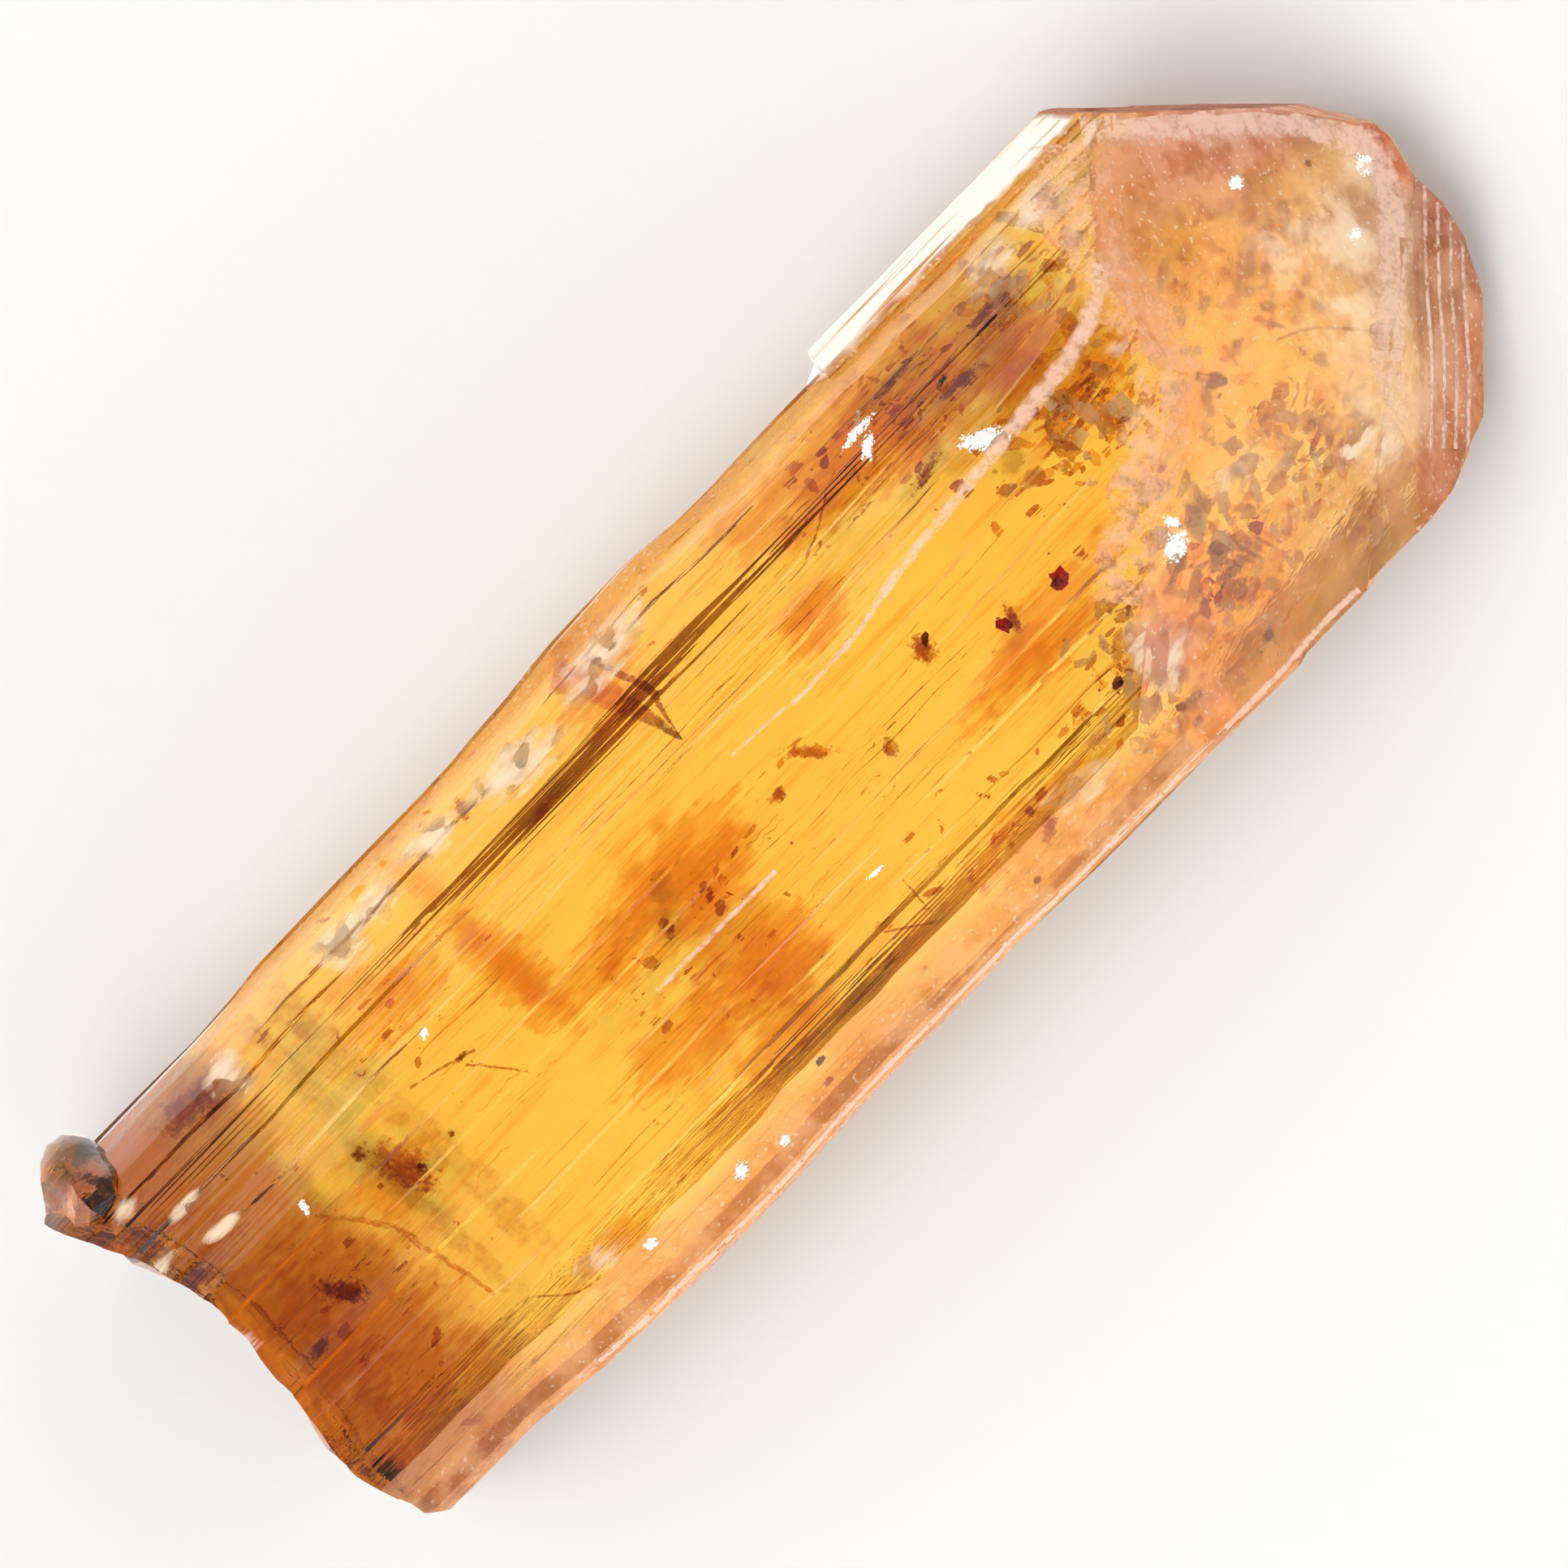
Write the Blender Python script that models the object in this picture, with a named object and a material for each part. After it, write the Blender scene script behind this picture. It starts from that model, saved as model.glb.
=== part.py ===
"""Topaz crystal: one striated prism with a broken end, lying on a flat prism face.

The prism's long axis runs along X, with the grown termination at +X and the broken
end at -X. Y runs across the broad front, and +Z points out of it.
"""

import math
import random

import bmesh
import bpy
from mathutils import Matrix, Vector, noise

MM = 0.001

# Driving dimensions
LENGTH = 36.0 * MM
HALF_WIDTH = 5.85 * MM
THICKNESS = 9.0 * MM
TAPER = 0.035

# Section corners, as fractions of the half width and the thickness, each with the
# number of growth terraces on the facet that follows it and how far they step
SECTION = (
    ("rest_low", -0.530, 0.000, 1, 0.00),
    ("rest_high", 0.515, 0.000, 3, 0.07),
    ("keel_high", 0.800, 0.190, 2, 0.06),
    ("side_high_low", 0.925, 0.430, 3, 0.08),
    ("side_high_top", 0.915, 0.722, 2, 0.05),
    ("gold_band", 0.812, 0.856, 3, 0.05),
    ("shoulder_high", 0.620, 0.950, 4, 0.07),
    ("crest", 0.274, 1.000, 3, 0.06),
    ("front_middle", -0.188, 0.990, 5, 0.07),
    ("shoulder_low", -0.761, 0.926, 3, 0.05),
    ("strip_foot", -0.957, 0.811, 1, 0.00),
    ("side_low_top", -1.000, 0.733, 4, 0.08),
    ("side_low_low", -1.000, 0.400, 2, 0.07),
    ("keel_low", -0.870, 0.165, 2, 0.06),
)
LEDGE_SHARPNESS = 0.035 * MM
TERRACE_LENGTH = 6.5 * MM
CHIPPED_EDGES = {"shoulder_low": 0.16 * MM, "gold_band": 0.10 * MM, "shoulder_high": 0.05 * MM}

# Outline of the prism in plan: distance along X, then the side's reach in Y
HIGH_SIDE = ((-18, 5.05), (-12.5, 5.06), (-10.9, 5.20), (-5.6, 5.22), (-3.6, 5.32), (-1.8, 5.46),
             (0.4, 5.54), (2.2, 5.38), (18, 5.33))
LOW_SIDE = ((-18, 5.46), (-13.6, 5.52), (-12.0, 5.72), (-10.0, 5.79), (-7.0, 5.81), (-3.5, 5.71),
            (-1.0, 5.74), (4.0, 5.84), (8.0, 5.92), (18, 5.96))
CREST_LINE = ((-18, 1.30), (-1.0, 1.17), (1.1, 1.00), (4.0, 1.32), (7.1, 1.62), (9.8, 1.90),
              (10.8, 2.25), (12.0, 2.85))

# Stations along the prism
STATIONS = 44
STATION_JITTER = 0.22 * MM
BLANK_END = 18.8 * MM

# Termination faces: a point on each, the heading of its fall in plan and its slope
CREST_CORNER = Vector((11.0, 0.2, 8.95)) * MM
FACE_MAIN = (CREST_CORNER, -13.3, 45.0)
FACE_MAIN_BEVEL = (CREST_CORNER + Vector((-0.10, 0.10, -0.02)) * MM, -13.3, 21.0)
FACE_LOW = (CREST_CORNER, -58.3, 38.0)
FACE_LOW_BEVEL = (CREST_CORNER + Vector((-0.15, 0.15, -0.02)) * MM, -58.3, 18.0)
FACE_HIGH = (Vector((15.62, 3.58, 3.0)) * MM, 44.6, 86.0)
FACE_HIGH_TIP = (Vector((17.46, 1.44, 2.5)) * MM, 32.5, 83.0)
FACE_TIP = (Vector((18.00, 0.40, 2.0)) * MM, 4.0, 84.0)
FACE_TIP_LOW = (Vector((17.80, -0.42, 2.0)) * MM, -15.0, 84.0)
FACE_RIM = (Vector((15.63, -2.11, 3.9)) * MM, -51.0, 84.0)
FACE_UNDER = (Vector((17.2, 0.0, 0.9)) * MM, 0.0, 136.0)

# Second lobe, behind the rim: striated faces that turn about the rim's own line
RIM_START = Vector((17.76, -0.51, 2.16)) * MM
RIM_END = Vector((14.21, -3.26, 4.98)) * MM
LOBE_TURNS = (64.0, 50.0, 40.0, 27.0, 14.0, 2.0)
LOBE_REACH = 2.10 * MM
LOBE_HEIGHT = 1.75 * MM
LOBE_STEP_DOWN = 0.32 * MM
LOBE_SIDES = (
    ((17.76, -1.00), 0.0),
    ((17.66, -1.85), -13.0),
    ((17.20, -2.90), -30.0),
    ((16.30, -4.00), -45.0),
    ((15.28, -5.12), -54.0),
    ((14.52, -5.58), -68.0),
    ((13.70, -5.83), -80.0),
)
FACE_LOBE_LOW = (Vector((13.45, -4.60, 4.66)) * MM, -37.0, 59.0)
LOBE_CLEAR = 0.06 * MM
LOBE_INSET = 0.985

# Relief on the termination faces
RELIEF_SPACING = 0.85 * MM
RELIEF_HEIGHT = 0.06 * MM
RELIEF_SIZE = 1.3 * MM

# Raised lath on the high side: its section in Y and Z, its start and its end lean
LATH_SECTION = ((4.30, 2.10), (5.58, 2.60), (5.84, 3.70), (5.89, 5.10), (5.88, 6.28), (5.36, 6.74),
                (4.60, 6.92))
LATH_START = 5.95 * MM
LATH_RUN_IN = 0.22 * MM

# Broken end: a shallow bowl, a scoop beside it and two bevelled corners
BOWL_FLOOR = Vector((-16.05, 0.60, 5.0)) * MM
BOWL_RADIUS_HIGH = 5.0 * MM
BOWL_RADIUS_LOW = 11.0 * MM
BOWL_RADIUS_DEEP = 15.0 * MM
SCOOP_FLOOR = Vector((-16.55, -4.40, 4.6)) * MM
SCOOP_RADIUS = 2.05 * MM
SCOOP_RADIUS_DEEP = 26.0 * MM
TIP_CORNER = (Vector((-18.0, 4.36)) * MM, 0.914)
LOW_CORNER = (Vector((-16.75, -5.00)) * MM, 1.15)
RIPPLE_START = Vector((2.6, 8.3)) * MM
RIPPLE_SPACING = 1.05 * MM
RIPPLE_HEIGHT = 0.08 * MM
BREAK_ROUGHNESS = 0.12 * MM
BREAK_CELLS = 26

# Lump on the corner of the broken end
KNOB_CENTRE = Vector((-16.60, 4.35, 6.2)) * MM
KNOB_SIZE = Vector((1.02, 1.22, 1.90)) * MM
KNOB_UNEVENNESS = 0.26

# Chips: place, reach and size of each bite
CHIPS = (
    ((-1.55, 4.95, 8.25), 0.62, 1.5),
    ((0.15, 4.75, 8.40), 0.46, 1.9),
    ((-9.30, -4.70, 8.75), 0.55, 1.2),
    ((-5.90, -4.85, 8.75), 0.60, 1.5),
    ((2.60, -4.75, 8.72), 0.48, 1.3),
    ((6.30, -4.30, 8.80), 0.62, 1.4),
    ((-13.3, 3.90, 8.80), 0.42, 1.6),
    ((12.35, 5.00, 8.55), 0.50, 1.2),
    ((14.95, -2.50, 4.75), 0.42, 1.1),
    ((16.55, 2.95, 4.05), 0.34, 1.2),
    ((9.10, -0.85, 9.15), 0.40, 1.6),
)
SEED = 4208

# Surface of the stone
TOPAZ_COLOUR = (0.86, 0.42, 0.09, 1.0)
TOPAZ_ROUGHNESS = 0.12
TOPAZ_IOR = 1.62


def clear_scene():
    """Remove every object that the file holds."""
    for item in list(bpy.data.objects):
        bpy.data.objects.remove(item, do_unlink=True)


def ease(value):
    """Smooth step from 0 to 1."""
    value = min(max(value, 0.0), 1.0)
    return value * value * (3.0 - 2.0 * value)


def along(points, x):
    """Read a line of (x, value) points, in millimetres, at x in metres."""
    place = x / MM
    if place <= points[0][0]:
        return points[0][1] * MM
    for (x0, v0), (x1, v1) in zip(points, points[1:]):
        if place <= x1:
            return (v0 + (v1 - v0) * ease((place - x0) / (x1 - x0))) * MM
    return points[-1][1] * MM


def facing(heading, slope):
    """Outward normal of a face that falls along a heading, in degrees, at a slope."""
    turn = math.radians(heading)
    fall = math.radians(slope)
    return Vector((math.cos(turn) * math.sin(fall), math.sin(turn) * math.sin(fall), math.cos(fall)))


def terrace_step(facet, terrace, x):
    """How far a growth terrace stands out at x, from -1 to 1, with abrupt ends."""
    drift = noise.noise(Vector((x / TERRACE_LENGTH, facet * 3.7, terrace * 2.3)))
    level = noise.noise(Vector((facet * 1.9, terrace * 5.1, 8.0)))
    level = level + math.copysign(0.35, level)
    return level + 0.9 * math.tanh(3.0 * drift)


def corner_place(index, x):
    """Y and Z of one section corner at x."""
    name, across, up, _, _ = SECTION[index]
    y = across * HALF_WIDTH
    if name == "crest":
        y = along(CREST_LINE, x)
    widest_high = 0.925 * HALF_WIDTH
    if y > 0.0:
        y *= along(HIGH_SIDE, x) / widest_high
    else:
        y *= along(LOW_SIDE, x) / HALF_WIDTH
    z = up * THICKNESS * (1.0 - TAPER * (LENGTH / 2 - x) / LENGTH)
    chip = CHIPPED_EDGES.get(name, 0.0)
    if chip:
        y += chip * noise.noise(Vector((x / (0.9 * MM), index * 4.1, 3.0)))
        z -= 0.5 * chip * abs(noise.noise(Vector((x / (0.7 * MM), index * 2.7, 6.0))))
    return Vector((y, z))


def section_ring(x):
    """The prism's outline at x: corners, with two columns at each terrace ledge."""
    ring = []
    for index, (_, _, _, terraces, reach) in enumerate(SECTION):
        here = corner_place(index, x)
        there = corner_place((index + 1) % len(SECTION), x)
        run = there - here
        outward = Vector((run.y, -run.x)).normalized()
        ring.append(here)
        for terrace in range(1, terraces):
            middle = terrace / terraces + 0.12 * noise.noise(Vector((index * 6.1, terrace * 2.9, 1.0)))
            half_gap = LEDGE_SHARPNESS / run.length
            for side, level in ((-1, terrace - 1), (1, terrace)):
                lift = reach * MM * terrace_step(index, level, x)
                ring.append(here + run * (middle + side * half_gap) + outward * lift)
    return ring


def new_object(name, bm, helper=True):
    """Put a bmesh in the scene; a helper is only for cutting or joining."""
    bmesh.ops.recalc_face_normals(bm, faces=bm.faces)
    mesh = bpy.data.meshes.new(name)
    bm.to_mesh(mesh)
    bm.free()
    item = bpy.data.objects.new(name, mesh)
    bpy.context.collection.objects.link(item)
    if helper:
        item.hide_render = True
        item.display_type = 'WIRE'
    return item


def grow(bm, face, keep):
    """Extrude one face and give back the new face and its corners."""
    grown = bmesh.ops.extrude_face_region(bm, geom=[face])["geom"]
    if not keep:
        bmesh.ops.delete(bm, geom=[face], context='FACES_ONLY')
    verts = [item for item in grown if isinstance(item, bmesh.types.BMVert)]
    return next(item for item in grown if isinstance(item, bmesh.types.BMFace)), verts


def prism_blank(start, end, stations):
    """Extrude the section from start to end, reading a new outline at each station."""
    rng = random.Random(SEED)
    bm = bmesh.new()
    column = bm.verts.layers.int.new("column")
    first = [bm.verts.new((start, p.x, p.y)) for p in section_ring(start)]
    for index, vert in enumerate(first):
        vert[column] = index
    face = bm.faces.new(first)
    for station in range(1, stations + 1):
        x = start + (end - start) * station / stations
        if station < stations:
            x += rng.uniform(-STATION_JITTER, STATION_JITTER)
        face, verts = grow(bm, face, keep=(station == 1))
        ring = section_ring(x)
        for vert in verts:
            place = ring[vert[column]]
            vert.co = (x, place.x, place.y)
    return bm


def cut(bm, point, normal):
    """Cut away what lies beyond a plane and close the cut with one flat face."""
    geometry = bm.verts[:] + bm.edges[:] + bm.faces[:]
    result = bmesh.ops.bisect_plane(bm, geom=geometry, dist=1e-7, plane_co=point, plane_no=normal,
                                    clear_outer=True)
    rim = [item for item in result["geom_cut"] if isinstance(item, bmesh.types.BMEdge)]
    bmesh.ops.holes_fill(bm, edges=rim, sides=0)


def add_relief(bm, normal, height):
    """Divide the flat faces that share a normal and raise low growth hillocks on them."""
    side = normal.orthogonal().normalized()
    other = normal.cross(side)

    def flat_faces():
        return [face for face in bm.faces if face.normal.dot(normal) > 0.9995]

    for axis in (side, other):
        reaches = [vert.co.dot(axis) for face in flat_faces() for vert in face.verts]
        place = min(reaches) + 0.5 * RELIEF_SPACING
        while place < max(reaches):
            faces = flat_faces()
            edges = list({edge for face in faces for edge in face.edges})
            verts = list({vert for face in faces for vert in face.verts})
            bmesh.ops.bisect_plane(bm, geom=verts + edges + faces, dist=1e-7,
                                   plane_co=axis * place, plane_no=axis)
            place += RELIEF_SPACING
    flat = set(flat_faces())
    inner = [vert for vert in bm.verts if vert.link_faces and all(face in flat for face in vert.link_faces)]
    for vert in inner:
        vert.co += normal * height * noise.noise(vert.co / RELIEF_SIZE)


def main_crystal():
    """The main prism with its own termination faces."""
    bm = prism_blank(-BLANK_END, BLANK_END, STATIONS)
    for point, heading, slope in (FACE_MAIN_BEVEL, FACE_LOW_BEVEL, FACE_MAIN, FACE_LOW, FACE_HIGH,
                                  FACE_HIGH_TIP, FACE_TIP, FACE_TIP_LOW, FACE_RIM, FACE_UNDER):
        cut(bm, point, facing(heading, slope))
    for _, heading, slope in (FACE_MAIN, FACE_LOW):
        add_relief(bm, facing(heading, slope), RELIEF_HEIGHT)
    return new_object("topaz_crystal", bm, helper=False)


def second_lobe():
    """The lower individual behind the rim, with striated faces that turn about the rim."""
    bm = prism_blank(9.0 * MM, BLANK_END, 8)
    bmesh.ops.scale(bm, vec=(1.0, LOBE_INSET, LOBE_INSET), verts=bm.verts)
    bmesh.ops.translate(bm, vec=(0.0, 0.0, 0.4 * (1.0 - LOBE_INSET) * THICKNESS), verts=bm.verts)
    rim = (RIM_END - RIM_START).normalized()
    outward = Vector((-rim.y, rim.x, 0.0)).normalized()
    if outward.x < 0.0:
        outward = -outward
    upward = rim.cross(outward)
    if upward.z < 0.0:
        upward = -upward
    base = RIM_START - upward * (LOBE_HEIGHT + LOBE_STEP_DOWN)
    for turn in LOBE_TURNS:
        angle = math.radians(turn)
        normal = outward * math.cos(angle) + upward * math.sin(angle)
        touch = outward * LOBE_REACH * math.cos(angle) ** 0.7 + upward * LOBE_HEIGHT * math.sin(angle)
        cut(bm, base + touch, normal)
    for (x, y), heading in LOBE_SIDES:
        cut(bm, Vector((x, y, 2.0)) * MM, facing(heading, 86.0))
    for point, heading, slope in (FACE_MAIN, FACE_LOW, FACE_HIGH, FACE_HIGH_TIP, FACE_TIP):
        normal = facing(heading, slope)
        cut(bm, point - normal * LOBE_CLEAR, normal)
    for point, heading, slope in (FACE_LOBE_LOW, FACE_UNDER):
        cut(bm, point, facing(heading, slope))
    return new_object("second_lobe", bm)


def side_lath():
    """The raised growth layer along the high side."""
    bm = bmesh.new()
    start = [bm.verts.new((LATH_START, y * MM, z * MM)) for y, z in LATH_SECTION]
    for vert in start:
        vert.co.x += LATH_RUN_IN * (vert.co.y - LATH_SECTION[0][0] * MM) / (1.6 * MM)
    face = bm.faces.new(start)
    for step in range(1, 12):
        face, verts = grow(bm, face, keep=(step == 1))
        for vert in verts:
            vert.co.x = LATH_START + 0.9 * MM * step
            vert.co.y += 0.03 * MM * noise.noise(Vector((step * 0.6, vert.co.z / (2.0 * MM), 4.0)))
    for point, heading, slope in (FACE_MAIN_BEVEL, FACE_MAIN, FACE_HIGH):
        cut(bm, point, facing(heading, slope))
    return new_object("side_lath", bm)


def break_depth(y, z):
    """X of the broken surface at y and z."""
    radius = BOWL_RADIUS_HIGH if y > BOWL_FLOOR.y else BOWL_RADIUS_LOW
    bowl = BOWL_FLOOR.x - (y - BOWL_FLOOR.y) ** 2 / (2 * radius)
    bowl -= (z - BOWL_FLOOR.z) ** 2 / (2 * BOWL_RADIUS_DEEP)
    scoop = SCOOP_FLOOR.x - (y - SCOOP_FLOOR.y) ** 2 / (2 * SCOOP_RADIUS)
    scoop -= (z - SCOOP_FLOOR.z) ** 2 / (2 * SCOOP_RADIUS_DEEP)
    tip = TIP_CORNER[0].x + (y - TIP_CORNER[0].y) * TIP_CORNER[1]
    low = LOW_CORNER[0].x + (LOW_CORNER[0].y - y) * LOW_CORNER[1]
    reach = (Vector((y, z)) - RIPPLE_START).length
    ripple = RIPPLE_HEIGHT * math.sin(2 * math.pi * (reach / RIPPLE_SPACING) ** 0.85)
    ripple *= ease(reach / (2 * MM)) * (0.6 + noise.noise(Vector((y, z, 9.0)) / (2.6 * MM)))
    rough = BREAK_ROUGHNESS * noise.noise(Vector((y, z, 0.0)) / (1.7 * MM))
    return max(bowl, scoop, tip, low) + ripple + rough


def break_cutter():
    """A block whose inner side is the broken surface."""
    bm = bmesh.new()
    bmesh.ops.create_grid(bm, x_segments=BREAK_CELLS, y_segments=BREAK_CELLS, size=0.5)
    turn = Matrix.Rotation(math.radians(90), 4, 'Y')
    bmesh.ops.transform(bm, matrix=turn, verts=bm.verts)
    for vert in bm.verts:
        y = vert.co.y * 13.4 * MM
        z = (vert.co.z + 0.5) * 10.2 * MM - 0.6 * MM
        vert.co = (break_depth(y, z), y, z)
    grown = bmesh.ops.extrude_face_region(bm, geom=bm.faces[:])["geom"]
    for vert in (item for item in grown if isinstance(item, bmesh.types.BMVert)):
        vert.co.x = -BLANK_END - 1.0 * MM
    return new_object("break_cutter", bm)


def corner_knob():
    """An uneven lump, from an icosphere pushed about by noise."""
    bm = bmesh.new()
    bmesh.ops.create_icosphere(bm, subdivisions=3, radius=1.0)
    for vert in bm.verts:
        swell = 1.0 + KNOB_UNEVENNESS * noise.noise(vert.co * 1.4)
        vert.co = Vector([a * b for a, b in zip(vert.co * swell, KNOB_SIZE)]) + KNOB_CENTRE
    return new_object("corner_knob", bm)


def chip_cutters():
    """Small bites along the edges, as one helper."""
    bm = bmesh.new()
    rng = random.Random(SEED + 1)
    for place, reach, stretch in CHIPS:
        bite = bmesh.ops.create_icosphere(bm, subdivisions=2, radius=reach * MM)["verts"]
        shift = Vector((rng.uniform(0, 50), rng.uniform(0, 50), 0.0))
        for vert in bite:
            swell = 1.0 + 0.35 * noise.noise(vert.co / (0.5 * MM) + shift)
            vert.co = Vector((vert.co.x * stretch * swell, vert.co.y * swell, vert.co.z * 0.8 * swell))
            vert.co += Vector(place) * MM
    return new_object("chip_cutters", bm)


def combine(body, helper, operation):
    """Join a helper to the body or cut it away."""
    modifier = body.modifiers.new(helper.name, 'BOOLEAN')
    modifier.operation = operation
    modifier.solver = 'EXACT'
    modifier.object = helper


def centre_over_origin(crystal):
    """Shift the crystal and its helpers together, so that the origin is under its middle."""
    evaluated = crystal.evaluated_get(bpy.context.evaluated_depsgraph_get())
    corners = [Vector(corner) for corner in evaluated.bound_box]
    for item in bpy.data.objects:
        item.location.x -= (corners[0].x + corners[6].x) / 2
        item.location.y -= (corners[0].y + corners[6].y) / 2


def topaz_material():
    """Clear orange topaz."""
    material = bpy.data.materials.new("topaz")
    material.use_nodes = True
    shader = material.node_tree.nodes["Principled BSDF"]
    shader.inputs["Base Color"].default_value = TOPAZ_COLOUR
    shader.inputs["Roughness"].default_value = TOPAZ_ROUGHNESS
    shader.inputs["Metallic"].default_value = 0.0
    shader.inputs["IOR"].default_value = TOPAZ_IOR
    return material


def build():
    """Model the crystal."""
    clear_scene()
    crystal = main_crystal()
    combine(crystal, second_lobe(), 'UNION')
    combine(crystal, side_lath(), 'UNION')
    combine(crystal, corner_knob(), 'UNION')
    combine(crystal, break_cutter(), 'DIFFERENCE')
    combine(crystal, chip_cutters(), 'DIFFERENCE')
    crystal.data.materials.append(topaz_material())
    centre_over_origin(crystal)


build()
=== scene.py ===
"""Looks of the topaz crystal: the clear stone, its frosted faces and what lies inside it."""

import math
import random

import bmesh
import bpy
from bpy.props import FloatProperty, FloatVectorProperty, IntProperty, PointerProperty
from mathutils import Matrix, Quaternion, Vector, noise
from mathutils.bvhtree import BVHTree


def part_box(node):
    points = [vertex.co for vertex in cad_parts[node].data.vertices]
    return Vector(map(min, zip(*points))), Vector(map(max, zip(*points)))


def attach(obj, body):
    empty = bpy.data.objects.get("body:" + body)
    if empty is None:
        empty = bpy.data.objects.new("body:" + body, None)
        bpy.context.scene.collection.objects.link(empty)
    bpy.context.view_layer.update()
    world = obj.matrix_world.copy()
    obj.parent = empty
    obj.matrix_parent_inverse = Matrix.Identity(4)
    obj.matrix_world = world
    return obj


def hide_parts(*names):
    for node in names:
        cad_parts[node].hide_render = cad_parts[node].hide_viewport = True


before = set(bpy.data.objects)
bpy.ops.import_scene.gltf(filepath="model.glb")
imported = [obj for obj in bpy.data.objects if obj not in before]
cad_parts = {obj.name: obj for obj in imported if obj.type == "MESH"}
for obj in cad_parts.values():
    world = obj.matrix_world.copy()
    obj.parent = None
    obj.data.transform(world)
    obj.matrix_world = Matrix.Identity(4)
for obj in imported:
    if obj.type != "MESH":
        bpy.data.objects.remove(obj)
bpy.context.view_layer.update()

bl_info = {
    "name": "Topaz crystal looks",
    "version": (1, 0, 0),
    "blender": (4, 5, 0),
    "location": "View3D > Sidebar > Topaz",
    "description": "Builds a clear orange topaz crystal, its inclusions and a plain stage",
    "category": "Object",
}

NODE = "topaz_crystal"
BODY = "root"
MM = 0.001
LOW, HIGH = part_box(NODE)

UP = Vector((0.0, 0.0, 1.0))
DOWN = Vector((0.0, 0.0, -1.0))
# Height of the places above and below the crystal that rays start from, in millimetres
RAY_START = 20.0
# The direction that the lower end face looks in
LOW_FACE = Vector((0.324, -0.524, 0.788))
# Up to this height the face that the stone lies on stays as it is, in millimetres
FLAT_HEIGHT = 0.02
# From x to x the prism keeps the coarser mesh, in millimetres
PRISM_SPAN = (-15.2, 10.3)
# Faces that meet at less than this are shaded smooth, in degrees, and by how much more on the knob
SMOOTH_ANGLE = 13.0
KNOB_SOFTNESS = 2.5
# The crease between the main end face and the second lobe, in millimetres
CREASE = ((17.35, -0.7), (13.45, -4.55))
# How far the film, the pale veils, the crests and the glints stand off the surface, in millimetres
SKIN = 0.006
VEIL_LIFT = 2.0 * SKIN
CREST_LIFT = 3.0 * SKIN
GLINT_LIFT = 4.0 * SKIN
# What hangs over an edge faces upwards less than this
HANGING = 0.3
# Cover past which film counts as the white strip, and under which there is none
STRIP_COVER = 1.5
LEAST_COVER = 0.05


def mm(*values):
    """A place in metres from millimetres."""
    return Vector(values) * MM


def ease(value):
    """Smooth step from 0 to 1."""
    value = min(max(value, 0.0), 1.0)
    return value * value * (3.0 - 2.0 * value)


def colour_setting(name, description, default):
    """A setting that holds a colour."""
    return FloatVectorProperty(name=name, description=description, subtype='COLOR', size=3, default=default)


def length_setting(name, description, default):
    """A setting that holds a length, with its default in millimetres."""
    return FloatProperty(name=name, description=description, unit='LENGTH', default=default * MM)


class StoneSettings(bpy.types.PropertyGroup):
    """Finish of the clear stone."""
    ior: FloatProperty(name="IOR", description="Refraction of topaz", default=1.62)
    absorb_colour: colour_setting(
        "Absorption colour", "What light keeps as it crosses the stone", (0.998, 0.835, 0.08))
    absorb_density: FloatProperty(name="Absorption", description="Absorption per metre", default=300.0)
    polish: FloatProperty(name="Polish", description="Roughness of the bright prism faces", default=0.03)
    frost: FloatProperty(name="Frost", description="Roughness of the etched faces", default=0.34)
    clear_tint: colour_setting("Clear tint", "Tint of the clear middle", (1.0, 0.96, 0.88))
    # Darker orange of lengthwise streaks and of the painted shade in the darker patches
    streak_and_painted_shade_tint: colour_setting("Patch tint", "Tint of the darker orange patches", (0.86, 0.5, 0.16))
    broken_tint: colour_setting("Broken end tint", "Tint towards the broken end", (0.6, 0.24, 0.07))
    frost_tint: colour_setting("Frost tint", "Tint of the etched end faces", (1.0, 0.84, 0.7))
    fine_edge: length_setting("Mesh size", "Longest edge on the prism", 0.5)
    end_edge: length_setting("End mesh size", "Longest edge on the end faces", 0.26)
    striation_depth: length_setting("Striation depth", "Depth of the fine lengthwise grooves", 0.012)
    etch_depth: length_setting("Etch depth", "Depth of pits and hillocks on the end faces", 0.022)


class InclusionSettings(bpy.types.PropertyGroup):
    """Colours of what lies in and on the stone."""
    # Deep orange-brown of the orange sheets: stains, and painted shade over the darker patches
    rust_and_painted_shade: colour_setting("Rust", "Deep orange-brown stains", (0.58, 0.27, 0.03))
    dark: colour_setting("Dark", "Dark brown to black grains", (0.07, 0.022, 0.008))
    red: colour_setting("Red", "Dark red grains", (0.55, 0.03, 0.01))
    # Pale of the fracture veils and film spots, and of the painted cream reflections on the upper flank
    veil_and_painted_reflection: colour_setting("Veil", "Pale fracture veils", (0.98, 0.78, 0.56))
    blush: colour_setting("Blush", "Pinkish crests", (0.88, 0.6, 0.46))
    peach: colour_setting("Peach", "Milky film on the etched faces", (0.84, 0.42, 0.2))
    pink: colour_setting("Pink", "Pink parts of the film", (0.74, 0.34, 0.24))
    gold: colour_setting("Gold", "Golden parts of the film", (0.62, 0.25, 0.04))
    brown: colour_setting("Brown", "Brown parts of the film", (0.4, 0.13, 0.04))
    # Orange of the same sheets: stains, and painted shade over the darker patches
    stain_and_painted_shade: colour_setting("Stain", "Orange stains and painted shade", (0.86, 0.52, 0.1))
    # White of the frosted specks, the white strip and spots of film, and of the painted glints where open
    # cracks would mirror the light
    frost_white_and_painted_glint: colour_setting("Gleam", "White glints of open cracks", (1.0, 0.93, 0.86))
    seed: IntProperty(name="Seed", description="Scatter seed", default=7)


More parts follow.
